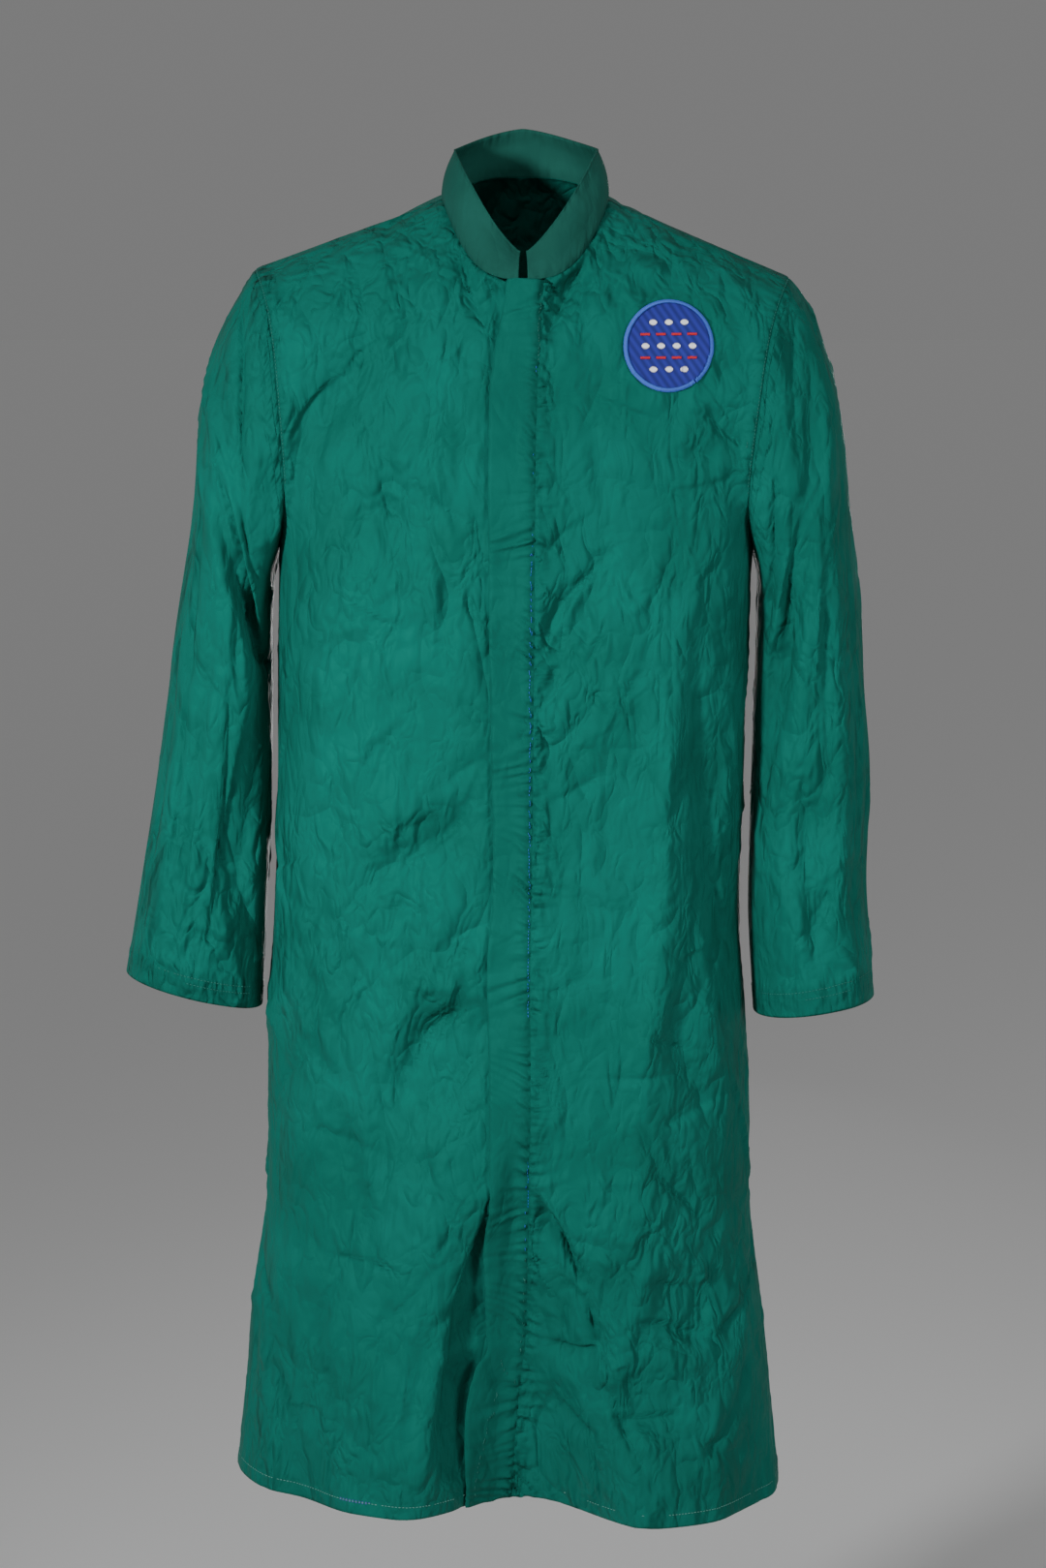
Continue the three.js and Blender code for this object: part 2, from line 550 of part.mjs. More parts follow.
// The back is two halves that share the centre column up to the neck
function backPanel() {
  const neckStart = TOP_ROW - BACK_NECK_ROWS;
  const points = [];
  const directions = [];
  const faces = [];
  for (const side of [SIDES.left, SIDES.right]) {
    const places = (v) => {
      const start = Math.abs(rowCurve(side, 1, v).v0.x);
      const end = rowLength(side, 1, v);
      const list = [];
      for (let j = 0; j <= BACK_COLUMNS; j += 1) list.push(side.sign * lerp(start, end, j / BACK_COLUMNS));
      return list;
    };
    const half = halfPanel(side, 1, places, () => 0);
    const offset = points.length;
    const shared = (index) => {
      const row = Math.floor(index / (BACK_COLUMNS + 1));
      const onCentre = index % (BACK_COLUMNS + 1) === 0 && row <= neckStart;
      return onCentre ? index : index + offset;
    };
    points.push(...half.points.flat());
    directions.push(...half.directions.flat());
    const own = gridFaces(TOP_ROW, BACK_COLUMNS, side.sign > 0, half.points.flat());
    faces.push(...own.map((face) => face.map(shared)));
  }
  return dropLoosePoints(wall(points, directions, faces, WALL));
}

function dropLoosePoints(geometry) {
  return mergeVertices(geometry.toNonIndexed(), 1e-6);
}

// A point of a sleeve. angle is in radians round the ring, as in the fold table, and t runs to the cuff.
function sleevePoint(side, rows, folds, angle, t) {
  const ring = lookup(rows, 't', t);
  const { c, s } = squircle(angle, lerp(ARMHOLE_ROUNDNESS, 2.2, smooth(t, 0, 0.5)));
  const scoop = side.armholeScoop * (1 - c ** 4) * smooth(t, 0.25, 0);
  const x = (ring.outX + ring.inX) / 2 + ((ring.outX - ring.inX) / 2) * c - scoop;
  const z = (ring.outZ + ring.inZ) / 2 + ((ring.outZ - ring.inZ) / 2) * c;
  const y = ring.y - (s > 0 ? ring.front : ring.back) * s;
  const point = new THREE.Vector3(side.sign * x, y, z);
  const middle = new THREE.Vector3((side.sign * (ring.outX + ring.inX)) / 2, ring.y, point.z);
  const depth = sleeveFoldDepth(folds, THREE.MathUtils.radToDeg(angle), t) * smooth(t, 0, 0.12);
  const inner = 1 - 0.9 * smooth(c, -0.75, -0.95);
  return point.addScaledVector(middle.sub(point).normalize(), depth * inner);
}

function sleeveFoldDepth(folds, degrees, t) {
  let total = 0;
  for (const fold of folds) {
    let nearest = Infinity;
    let along = 0;
    const steps = 14;
    for (let i = 0; i <= steps; i += 1) {
      const u = i / steps;
      const fa = (1 - u) ** 2 * fold.a0 + 2 * u * (1 - u) * fold.a1 + u ** 2 * fold.a2;
      const ft = (1 - u) ** 2 * fold.t0 + 2 * u * (1 - u) * fold.t1 + u ** 2 * fold.t2;
      const near = (radians(degrees - fa) * ARM_RADIUS) ** 2 + ((t - ft) * ARM_LENGTH) ** 2;
      if (near < nearest) {
        nearest = near;
        along = u;
      }
    }
    const share = Math.min(Math.sqrt(nearest) / (2 * fold.width), 1);
    total += fold.depth * Math.cos((share * Math.PI) / 2) ** 2 * Math.sin(Math.PI * clamp(along, 0.1, 0.9));
  }
  return total;
}

function sleeve(side, rows, folds) {
  const around = 2 * YOKE_ROWS;
  const at = (k, t) => sleevePoint(side, rows, folds, (k / around) * 2 * Math.PI, t);
  const points = [];
  const directions = [];
  for (let i = 0; i <= SLEEVE_RINGS; i += 1) {
    const t = i / SLEEVE_RINGS;
    const dt = i === SLEEVE_RINGS ? -0.004 : 0.004;
    for (let k = 0; k < around; k += 1) {
      const here = at(k, t);
      const flip = side.sign * Math.sign(dt);
      let out = outward(here, at(k + 0.05, t), at(k, t + dt)).multiplyScalar(flip);
      if (i === 0) {
        const angle = (Math.min(k, around - k) / around) * 2 * Math.PI;
        out = armholeOut(side, k <= around / 2 ? -1 : 1, angle, true);
        here.addScaledVector(armholeApart(side, angle), SEAM_GAP / 2);
      }
      points.push(here);
      directions.push(out);
    }
  }
  const faces = [];
  for (let i = 0; i < SLEEVE_RINGS; i += 1) {
    for (let k = 0; k < around; k += 1) {
      const a = i * around + k;
      const b = i * around + ((k + 1) % around);
      faces.push(...splitQuad([a, b, b + around, a + around], points));
    }
  }
  const turned = side.sign > 0 ? faces : faces.map(([a, b, c]) => [c, b, a]);
  return wall(points, directions, turned, WALL);
}

// The collar stands on the neck seam, from the wearer's right front round the back to the left front
function collar() {
  const stations = [];
  const lastFront = TOP_ROW;
  const firstFront = TOP_ROW - FRONT_NECK_ROWS;
  const halfGap = Math.asin(3.5 / SIDES.right.neck);
  stations.push({ side: SIDES.right, face: -1, angle: halfGap });
  for (let v = firstFront + 1; v <= lastFront; v += 1) {
    const angle = neckAngle(SIDES.right, -1, (v - SKIRT_ROWS) / YOKE_ROWS);
    stations.push({ side: SIDES.right, face: -1, angle });
  }
  for (let k = BACK_NECK_ROWS - 1; k >= 0; k -= 1) {
    stations.push({ side: SIDES.right, face: 1, angle: (k / BACK_NECK_ROWS) * (Math.PI / 2) });
  }
  for (let k = 1; k <= BACK_NECK_ROWS; k += 1) {
    stations.push({ side: SIDES.left, face: 1, angle: (k / BACK_NECK_ROWS) * (Math.PI / 2) });
  }
  for (let v = lastFront - 1; v >= firstFront; v -= 1) {
    const angle = neckAngle(SIDES.left, -1, (v - SKIRT_ROWS) / YOKE_ROWS) ?? LEFT_NECK_START;
    stations.push({ side: SIDES.left, face: -1, angle });
  }
  stations.push({ side: SIDES.left, face: -1, angle: halfGap });
  const points = [];
  const directions = [];
  for (let i = 0; i <= COLLAR_ROWS; i += 1) {
    const up = i / COLLAR_ROWS;
    for (const { side, face, angle } of stations) {
      const base = neck(side, face, angle);
      const top = collarTop(side, face, angle);
      const point = base.clone().lerp(top, up);
      const radial = new THREE.Vector3(side.sign * Math.sin(angle), face * Math.cos(angle), 0.25).normalize();
      point.addScaledVector(radial, 2.5 * Math.sin(Math.PI * up));
      if (i === 0) point.addScaledVector(neckAway(side, face, angle), -SEAM_GAP / 2);
      points.push(point);
      const out = neckOut(side, face, angle);
      directions.push(i === 0 ? out : out.lerp(radial, up).normalize());
    }
  }
  const faces = gridFaces(COLLAR_ROWS, stations.length - 1, true, points);
  return wall(points, directions, faces, WALL);
}

function collarTop(side, face, angle) {
  const end = face < 0 ? { y: -63, z: -45 } : { y: 60, z: 58 };
  const lift = Math.sin(angle) ** 1.4;
  const x = side.sign * side.collarTop * Math.sin(angle);
  return new THREE.Vector3(x, end.y * Math.cos(angle), lerp(end.z, 41, lift));
}

// The placket lies on the right front's own points, moved out, and ends at the left front's edge
function placket(right, left) {
  const top = TOP_ROW - FRONT_NECK_ROWS;
  const cloth = [];
  const points = [];
  const directions = [];
  for (let v = 0; v <= top; v += 1) {
    const seam = left.points[v][0].clone();
    seam.addScaledVector(left.points[v][1].clone().sub(seam).normalize(), -SEAM_GAP);
    const under = right.points[v].slice(0, 3);
    const outs = right.directions[v].slice(0, 3);
    cloth.push(seam, ...under);
    points.push(seam, ...under.map((point, j) => point.clone().addScaledVector(outs[j], WALL + LAYER_GAP)));
    directions.push(left.directions[v][0], ...outs);
  }
  const topRow = points.slice(-4);
  topRow.forEach((point) => point.setZ(point.z - PLACKET_TOP_DROP));
  return wall(points, directions, gridFaces(top, 3, true, cloth), WALL);
}

// manifold-3d joins and cuts closed meshes
const wasm = await Module();
wasm.setup();

function toManifold(geometry) {
  const bare = geometry.clone();
  bare.deleteAttribute('normal');
  bare.deleteAttribute('uv');
  const merged = mergeVertices(bare, 1e-4);
  return new wasm.Manifold(new wasm.Mesh({
    numProp: 3,
    vertProperties: merged.attributes.position.array,
    triVerts: new Uint32Array(merged.index.array),
  }));
}

function fromManifold(shape) {
  const mesh = shape.getMesh();
  const geometry = new THREE.BufferGeometry();
  geometry.setAttribute('position', new THREE.BufferAttribute(mesh.vertProperties, 3));
  geometry.setIndex(new THREE.BufferAttribute(mesh.triVerts, 1));
  return geometry;
}

// The chest patch is a disc cut from a layer made of the left front's own points, moved out
function chestPatch(left) {
  const near = PATCH.radius + 25;
  const inReach = (row) => row.some((p) => Math.hypot(p.x - PATCH.x, p.z - PATCH.z) < near);
  const kept = left.points.map((row, v) => v).filter((v) => inReach(left.points[v]));
  const cloth = left.points.slice(kept[0], kept[kept.length - 1] + 1).flat();
  const directions = left.directions.slice(kept[0], kept[kept.length - 1] + 1).flat();
  const points = cloth.map((p, i) => p.clone().addScaledVector(directions[i], LAYER_GAP + PATCH.thickness));
  const faces = gridFaces(kept.length - 1, FRONT_COLUMNS, false, cloth);
  const layer = toManifold(wall(points, directions, faces, PATCH.thickness));
  const punch = new THREE.CylinderGeometry(PATCH.radius, PATCH.radius, 120, 40);
  punch.translate(PATCH.x, -110, PATCH.z);
  return fromManifold(layer.intersect(toManifold(punch)));
}

function piece(name, geometry, look) {
  const mesh = new THREE.Mesh(geometry, new THREE.MeshStandardMaterial(look));
  mesh.name = name;
  return mesh;
}

const rightFront = frontPanel(SIDES.right);
const leftFront = frontPanel(SIDES.left);

const smock = new THREE.Group();
smock.add(piece('front_right', rightFront.geometry, CLOTH));
smock.add(piece('front_left', leftFront.geometry, CLOTH));
smock.add(piece('back', backPanel(), CLOTH));
smock.add(piece('sleeve_right', sleeve(SIDES.right, SLEEVES.right, SLEEVE_FOLDS.right), CLOTH));
smock.add(piece('sleeve_left', sleeve(SIDES.left, SLEEVES.left, SLEEVE_FOLDS.left), CLOTH));
smock.add(piece('collar', collar(), COLLAR_CLOTH));
smock.add(piece('placket', placket(rightFront, leftFront), CLOTH));
smock.add(piece('chest_patch', chestPatch(leftFront), PATCH_CLOTH));

export default smock;
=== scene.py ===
import math

import bpy
import numpy as np
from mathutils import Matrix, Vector
from mathutils.bvhtree import BVHTree


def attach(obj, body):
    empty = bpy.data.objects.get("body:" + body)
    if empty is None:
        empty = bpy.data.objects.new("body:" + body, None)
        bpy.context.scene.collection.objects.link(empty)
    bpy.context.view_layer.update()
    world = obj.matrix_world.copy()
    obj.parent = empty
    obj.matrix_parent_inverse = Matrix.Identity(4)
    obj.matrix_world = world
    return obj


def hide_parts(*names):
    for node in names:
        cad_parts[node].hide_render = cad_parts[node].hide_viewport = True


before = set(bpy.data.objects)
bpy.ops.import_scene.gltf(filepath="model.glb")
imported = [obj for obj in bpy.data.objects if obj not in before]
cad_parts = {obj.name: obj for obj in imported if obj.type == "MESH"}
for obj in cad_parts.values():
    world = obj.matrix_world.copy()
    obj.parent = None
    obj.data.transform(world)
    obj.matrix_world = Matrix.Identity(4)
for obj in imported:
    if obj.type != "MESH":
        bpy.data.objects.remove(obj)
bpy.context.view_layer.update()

# Driving dimensions of the solids
MM = 0.001
WALL = 2.0
LAYER_GAP = 0.3
SIDE_SEAM_Y = 4.0
HEM_Z = -1110.0
UNDERARM_Z = -290.0
NECK_FRONT = (-85.0, -64.0)
NECK_SIDE_Z = 0.0
NECK_BACK = (65.0, 18.0)
CENTRE_TOP_DROP = 2.4
PLACKET_TOP_RISE = 3.0
PLACKET_TUCK = 1.5
UNDERLAP_SHORT = 0.16
PATCH_X = 120.0
PATCH_Z = -119.0
PATCH_RADIUS = 38.0
SKIRT_ROWS = 22
YOKE_ROWS = 12
TOP_ROW = SKIRT_ROWS + YOKE_ROWS
ROW_STEPS = 61
HALVINGS = 24
SOFTENINGS = 90
FRONT_NECK_ROWS = 6
BACK_NECK_ROWS = 4
FRONT = -1
BACK = 1

# The two sides of the wearer
RIGHT = {
    "sign": -1, "hem_z": -1096.0, "hem_dip": 2.0, "neck": 67.0, "collar_top": 56.0,
    "tip_x": 226.0, "tip_z": -58.0, "underarm": 207.0, "scoop": 13.0,
}
LEFT = {
    "sign": 1, "hem_z": -1112.0, "hem_dip": 12.0, "neck": 71.0, "collar_top": 61.0,
    "tip_x": 225.0, "tip_z": -65.0, "underarm": 195.0, "scoop": 14.0,
}
ARMHOLE_FRONT = 78.0
ARMHOLE_BACK = 82.0
ARMHOLE_ROUNDNESS = 2.4

# Level sections of the body. Columns: z, right half-width, left half-width, front depth, back depth, fullness
BODY = [
    (-1110, 250, 224, 144, 138, 0.60),
    (-1040, 243, 218, 138, 133, 0.60),
    (-950, 235, 208, 130, 128, 0.58),
    (-860, 222, 197, 126, 124, 0.60),
    (-770, 221, 196, 123, 120, 0.62),
    (-690, 219, 192, 120, 117, 0.66),
    (-610, 214, 186, 118, 115, 0.70),
    (-490, 210, 189, 116, 113, 0.75),
    (-390, 209, 191, 115, 112, 0.78),
    (-290, 207, 195, 114, 112, 0.78),
]
YOKE_TURN = 24.0
YOKE_FULL = 0.34
YOKE_STRAIGHTENS = (0.28, 0.64)
# Depth of the centre line above the underarm. Columns: z, depth
CHEST = [(-290, 114), (-200, 112), (-130, 103), (-64, 85)]
SHOULDERS = [(-290, 112), (-200, 117), (-120, 112), (-45, 92), (18, 65)]
# The placket's free and stitched edges. Columns: z, free x, stitched x
PLACKET = [
    (-1110, -50, -11),
    (-1036, -45, -6),
    (-990, -36, -1),
    (-970, -28, 2),
    (-887, -29, 5),
    (-752, -28, 6),
    (-631, -30, 6),
    (-573, -25, 7),
    (-359, -28, 9),
    (-167, -28, 11),
    (-116, -23, 14),
    (-83, -16, 16),
    (-57, -12, 17),
]
# Sleeve rings. Columns: t, outer x, outer z, inner x, inner z, middle y, depth before, depth behind
SLEEVE_RIGHT = [
    (0, 226, -58, 207, -290, 4, 78, 82),
    (0.12, 250, -100, 213, -318, 5, 82, 84),
    (0.25, 273, -164, 214, -348, 6, 82, 82),
    (0.4, 281, -262, 214, -395, 8, 79, 79),
    (0.55, 297, -366, 215, -455, 7, 74, 74),
    (0.7, 312, -480, 217, -530, 4, 70, 70),
    (0.85, 328, -580, 221, -610, 0, 66, 66),
    (1, 341, -657, 225, -687, -4, 62, 62),
]
SLEEVE_LEFT = [
    (0, 225, -65, 195, -290, 4, 78, 82),
    (0.12, 247, -102, 200, -318, 5, 82, 84),
    (0.25, 267, -168, 200, -348, 6, 82, 82),
    (0.4, 278, -264, 199, -395, 8, 79, 79),
    (0.55, 287, -368, 197, -455, 7, 75, 75),
    (0.7, 294, -478, 195, -530, 4, 72, 72),
    (0.85, 293, -580, 194, -612, 0, 70, 70),
    (1, 302, -677, 199, -692, -4, 68, 68),
]

# Main folds of the panels, shared with the solids.
# Columns: three points (q, z), half-width at the start and end, depth, 1 if it stays open at its end.
# q is the distance round the cloth from the centre line, positive to the wearer's left.
FRONT_FOLDS = [
    (-4, -780, -2, -960, 2, -1125, 8, 60, 88, 1),
    (-50, -30, -34, -80, -22, -150, 12, 12, 7, 0),
    (62, -30, 38, -75, 14, -125, 12, 14, 8, 0),
    (-215, -205, -158, -146, -108, -112, 18, 22, 9, 0),
    (-108, -150, -104, -260, -98, -400, 16, 14, 6, 0),
    (92, -270, 46, -345, 10, -400, 20, 18, 7, 0),
    (-24, -480, -69, -530, -116, -566, 20, 20, 8, 0),
    (-20, -655, -84, -700, -108, -800, 22, 24, 14, 0),
    (130, -340, 122, -600, 100, -860, 14, 16, -9, 0),
    (168, -330, 176, -480, 186, -650, 20, 20, 9, 0),
    (100, -905, 146, -945, 190, -940, 20, 20, 12, 0),
    (60, -985, 108, -1012, 158, -1016, 22, 20, 13, 0),
    (-212, -960, -206, -1020, -196, -1125, 16, 26, 14, 1),
    (205, -980, 214, -1040, 220, -1125, 16, 26, 12, 1),
]
BACK_FOLDS = [
    (0, -330, 4, -700, -6, -1125, 22, 44, 26, 1),
    (-108, -240, -100, -640, -118, -1125, 20, 40, 22, 1),
    (104, -270, 112, -660, 106, -1125, 20, 38, 24, 1),
    (-200, -420, -190, -760, -196, -1125, 18, 34, 16, 1),
    (184, -460, 190, -800, 186, -1125, 18, 34, 16, 1),
    (-190, -220, -120, -170, -60, -150, 18, 18, 8, 0),
    (182, -225, 120, -180, 56, -165, 18, 18, 8, 0),
]
# Main folds of the sleeves. Columns: three points (degrees round the ring, t), width, depth
SLEEVE_FOLDS_RIGHT = [
    (50, 0.27, 100, 0.33, 165, 0.42, 20, 13),
    (78, 0.5, 72, 0.72, 78, 0.92, 15, 10),
    (150, 0.5, 135, 0.7, 120, 0.98, 18, 9),
    (30, 0.17, 62, 0.2, 95, 0.24, 16, 8),
    (318, 0.28, 262, 0.36, 205, 0.44, 16, 11),
    (300, 0.5, 288, 0.7, 282, 0.94, 16, 9),
]
SLEEVE_FOLDS_LEFT = [
    (92, 0.25, 108, 0.42, 158, 0.58, 20, 15),
    (120, 0.18, 138, 0.25, 160, 0.34, 16, 7),
    (50, 0.13, 72, 0.19, 84, 0.27, 16, 8),
    (100, 0.62, 84, 0.78, 76, 0.96, 16, 9),
    (312, 0.26, 258, 0.35, 205, 0.46, 16, 11),
    (296, 0.52, 286, 0.72, 290, 0.95, 16, 9),
]
ARM_RADIUS = 66.0
ARM_LENGTH = 520.0

# Creases listed for the front.
# Columns: x and z of both ends, bow, half-width, depth, skew. A depth below 0 is a ridge.
# Skew 0 is an even trough, 1 or -1 a sharp edge with the cloth rising slowly again on one side of it,
# 2 a sharp pressed line.
FRONT_CREASES = [
    (-51, -24, -22, -112, 5, 5, 3.2, 0.7),
    (-46, -8, -20, -134, -3, 4, 2.4, -0.6),
    (-60, -52, -30, -160, 6, 6, 2.2, 0.5),
    (-138, -45, -111, -110, 4, 8, 2.4, 0.6),
    (-91, -65, -79, -98, 1, 6, 1.6, 0.4),
    (-199, -205, -150, -140, -8, 8, 3.2, 0.7),
    (-150, -140, -111, -106, -5, 9, 2.6, 0.5),
    (-112, -150, -100, -360, -4, 8, 2.8, 0.8),
    (-139, -180, -137, -315, 3, 7, 2.0, -0.7),
    (-88, -228, -28, -268, 4, 5, 1.8, 0.6),
    (-70, -190, -30, -214, -3, 4, 1.3, -0.5),
    (-170, -250, -120, -420, 9, 10, 2.0, 0.5),
    (-60, -300, -28, -345, 3, 5, 1.6, 0.6),
    (-150, -330, -96, -372, -4, 6, 1.3, -0.6),
    (-34, -490, -99, -550, -9, 7, 3.4, 0.8),
    (-30, -455, -78, -492, 5, 6, 2.0, -0.6),
    (-30, -610, -74, -640, -4, 5, 1.8, 0.7),
    (-130, -520, -60, -505, 3, 5, 1.2, 0.5),
    (-168, -560, -132, -680, 6, 8, 1.8, 0.6),
    (-118, -585, -66, -602, -3, 5, 1.4, -0.6),
    (-32, -669, -98, -762, 16, 8, 4.6, 0.9),
    (-30, -700, -72, -760, 8, 6, 2.6, -0.7),
    (-30, -752, -60, -768, -3, 4, 2.2, 0.7),
    (-60, -768, -96, -742, 4, 5, 1.8, -0.5),
    (-33, -832, -52, -1090, 2, 23, 7.0, 0),
    (-30, -850, -80, -945, -10, 6, 4.0, -0.95),
    (-79, -930, -108, -1062, 5, 7, 3.4, -0.95),
    (-33, -918, -58, -975, -6, 6, 3.0, -0.9),
    (-54, -965, -70, -1040, -4, 7, 3.2, -0.85),
    (-36, -985, -46, -1060, 3, 7, 2.4, 0.8),
    (-160, -735, -118, -900, -6, 9, 3.2, 0.9),
    (-169, -889, -86, -912, -8, 3, 1.6, 2),
    (-182, -780, -112, -800, -4, 5, 1.3, 0.6),
    (-190, -690, -140, -745, 5, 7, 1.6, 0.5),
    (-172, -900, -150, -1060, 6, 8, 2.2, 0.7),
    (-209, -985, -189, -1040, 3, 8, 2.8, 0.8),
    (-140, -960, -104, -1000, -4, 5, 1.7, -0.7),
    (-132, -1010, -120, -1090, 2, 6, 1.8, 0.5),
    (-60, -1020, -52, -1096, -3, 6, 2.2, 0.6),
    (65, -14, 15, -118, -6, 6, 3.8, 0.8),
    (47, -44, 48, -138, 3, 6, 2.2, -0.7),
    (79, -25, 79, -98, 2, 6, 1.4, 0.5),
    (28, -110, 16, -168, 2, 4, 1.6, 0.6),
    (178, -110, 199, -150, 3, 6, 2.4, 0.6),
    (126, -199, 164, -212, -3, 6, 1.8, 0.5),
    (150, -170, 196, -214, 5, 7, 2.0, -0.6),
    (60, -180, 74, -300, -4, 8, 1.5, 0.5),
    (84, -287, 16, -380, 8, 8, 3.2, 0.8),
    (60, -250, 14, -290, 4, 6, 1.8, -0.6),
    (52, -380, 16, -420, 3, 5, 1.6, 0.6),
    (124, -352, 116, -600, -4, 4, -2.0, 2),
    (116, -600, 96, -846, 5, 4, -1.8, 2),
    (156, -340, 178, -640, 6, 9, 2.8, 0.8),
    (92, -420, 70, -560, -5, 8, 1.6, 0.5),
    (70, -470, 18, -500, -4, 5, 1.8, 0.6),
    (150, -470, 104, -540, 5, 6, 1.6, -0.6),
    (30, -560, 88, -590, 4, 5, 1.5, 0.6),
    (81, -682, 172, -716, 5, 3, 1.3, 2),
    (52, -729, 146, -729, 2, 3, 1.1, 2),
    (16, -660, 60, -640, -3, 5, 1.6, 0.6),
    (130, -640, 166, -780, 6, 8, 2.0, 0.6),
    (12, -828, 64, -915, -3, 8, 6.5, 0.95),
    (62, -910, 83, -978, 4, 9, 5.5, 0.9),
    (72, -990, 108, -1072, -5, 9, 4.5, 0.9),
    (20, -958, 60, -963, 4, 5, 3.0, 0.9),
    (30, -905, 56, -925, -4, 5, 2.2, 0.8),
    (26, -1000, 62, -1040, 5, 7, 2.4, 0.8),
    (58, -940, 70, -1050, 4, 7, 2.6, 0.6),
    (99, -937, 164, -962, -4, 6, 3.4, 0.9),
    (162, -962, 188, -938, 3, 5, 2.6, 0.85),
    (79, -1016, 136, -1020, 3, 5, 3.0, 0.9),
    (136, -1018, 154, -1080, 4, 6, 2.6, 0.8),
    (102, -812, 152, -866, -4, 6, 2.6, -0.85),
    (112, -905, 150, -915, 3, 4, 1.6, 0.8),
    (104, -780, 160, -830, -5, 6, 1.6, 0.5),
    (170, -860, 186, -980, 4, 8, 2.0, 0.6),
    (34, -870, 30, -980, 4, 6, 2.2, -0.5),
]
# Creases listed for the sleeves. Columns: degrees and t of both ends, bow, half-width, depth, skew
SLEEVE_CREASES_RIGHT = [
    (20, 0.08, 92, 0.2, 8, 7, 2.6, 0.7),
    (64, 0.1, 128, 0.24, -6, 7, 2.4, -0.6),
    (60, 0.26, 150, 0.44, 12, 8, 4.0, 0.9),
    (96, 0.3, 168, 0.4, 6, 6, 3.0, -0.7),
    (40, 0.34, 58, 0.8, -5, 7, 2.6, 0.8),
    (84, 0.46, 74, 0.98, 5, 6, -2.2, 2),
    (98, 0.5, 92, 0.99, 4, 8, 3.4, 0.8),
    (130, 0.52, 108, 0.84, -8, 8, 3.0, 0.7),
    (14, 0.42, 22, 0.96, 5, 8, 2.0, 0.6),
    (88, 0.74, 128, 0.8, 3, 4, 1.6, 0.7),
    (90, 0.77, 120, 0.83, 3, 4, 1.4, -0.6),
    (50, 0.6, 66, 0.9, 3, 6, 1.8, -0.6),
    (0, 0.2, 14, 0.46, 4, 8, 1.8, 0.5),
]
SLEEVE_CREASES_LEFT = [
    (30, 0.06, 84, 0.2, 7, 7, 2.2, 0.7),
    (92, 0.08, 140, 0.22, 5, 6, 2.4, -0.6),
    (88, 0.24, 112, 0.52, 8, 7, 3.6, 0.9),
    (112, 0.5, 150, 0.72, 6, 7, 3.2, 0.8),
    (78, 0.3, 96, 0.62, -5, 6, -2.0, 2),
    (60, 0.36, 70, 0.74, 5, 8, 2.2, 0.6),
    (30, 0.3, 40, 0.98, -6, 7, 1.8, 0.7),
    (8, 0.5, 12, 0.99, 2, 3, -1.4, 2),
    (100, 0.62, 84, 0.98, 5, 7, 2.6, -0.7),
    (60, 0.8, 90, 0.94, 5, 5, 1.6, 0.6),
    (46, 0.12, 70, 0.3, -5, 7, 1.8, 0.6),
]

# How much deeper the listed creases are than their tables say, and how the back repeats the front's
HAND_DEPTH = 2.8
BACK_SHARE = 0.8
BACK_SHIFT_X = 14
BACK_SHIFT_Z = 46
# Small creases all over: how many on the front or back and on a sleeve, the share of them that run up,
# and the ranges of length, half-width and depth. They are deeper near the hem than at the shoulders.
CRUMPLES_BODY = 620
CRUMPLES_SLEEVE = 260
UPRIGHT_BODY = 0.55
UPRIGHT_SLEEVE = 0.7
CRUMPLE_LENGTH = (18.0, 130.0)
CRUMPLE_WIDTH = (2.0, 8.0)
CRUMPLE_DEPTH = (0.5, 4.6)
CRUMPLE_AT_HEM = 1.25
CRUMPLE_AT_SHOULDER = 0.75
CRUMPLE_SEED = 41

# Puckers along the seams and rows of stitches: height, pitch, reach and slant
SIDE_PUCKER = (0.3, 14.0, 12.0, 0.6)
ARMHOLE_PUCKER = (0.4, 12.0, 9.0, 0.6)
SHOULDER_PUCKER = (0.2, 12.0, 8.0, 0.6)
FRONT_NECK_PUCKER = (0.45, 10.0, 9.0, 0.6)
BACK_NECK_PUCKER = (0.4, 10.0, 9.0, 0.6)
PLACKET_SEAM_PUCKER = (3.0, 11.0, 12.0, 0.6)
HEM_PUCKER = (0.4, 8.0, 6.0, 0.1)
SLEEVE_HEAD_PUCKER = (0.5, 13.0, 10.0, 0.6)
CUFF_PUCKER = (0.3, 11.0, 6.0, 0.4)
COLLAR_PUCKER = (0.35, 10.0, 8.0, 0.5)
PLACKET_PUCKER = (3.0, 11.0, 14.0, -0.7)
PLACKET_FREE_PUCKER = (0.5, 19.0, 9.0, 0.4)
# Puckers and creases start this far from a seam
PUCKER_CLEAR = 3
CREASE_CLEAR = 12

# Cloth in the scene
CLOTH_THICK = 0.6
PLACKET_THICK = 0.9
COLLAR_THICK = 1.5
SEAM_SINK = 1.1
SEAM_REACH = 2.6
HEM_DEEP = 11.0
HEM_THICKER = 0.5
CUFF_THICKER = 0.4
CUFF_ROUNDNESS = 2.2
LAP_REACH = 45
GROOVE_DEEP = 2.6
GROOVE_HALF = 6.0
# Rows of the fine grids, in the skirt, in the yoke and beside the neck: 2.4 mm apart in the front's skirt
FRONT_GRID = (340, 100, 56)
BACK_GRID = (236, 104, 36)
FRONT_COLUMNS = 76
BACK_COLUMNS = 56
# Rows and columns of the others
SLEEVE_GRID = (292, 93)
COLLAR_GRID = (26, 360)
PLACKET_GRID = (700, 24)

# Collar: the gap at the centre front, how far it bulges, and its top edge
COLLAR_HALF_GAP = 3.5
COLLAR_BULGE = 2.5
COLLAR_FRONT_TOP = (-63.0, -45.0)
COLLAR_BACK_TOP = (60.0, 58.0)
COLLAR_SIDE_TOP_Z = 41
COLLAR_EDGE_ROW = 2.5
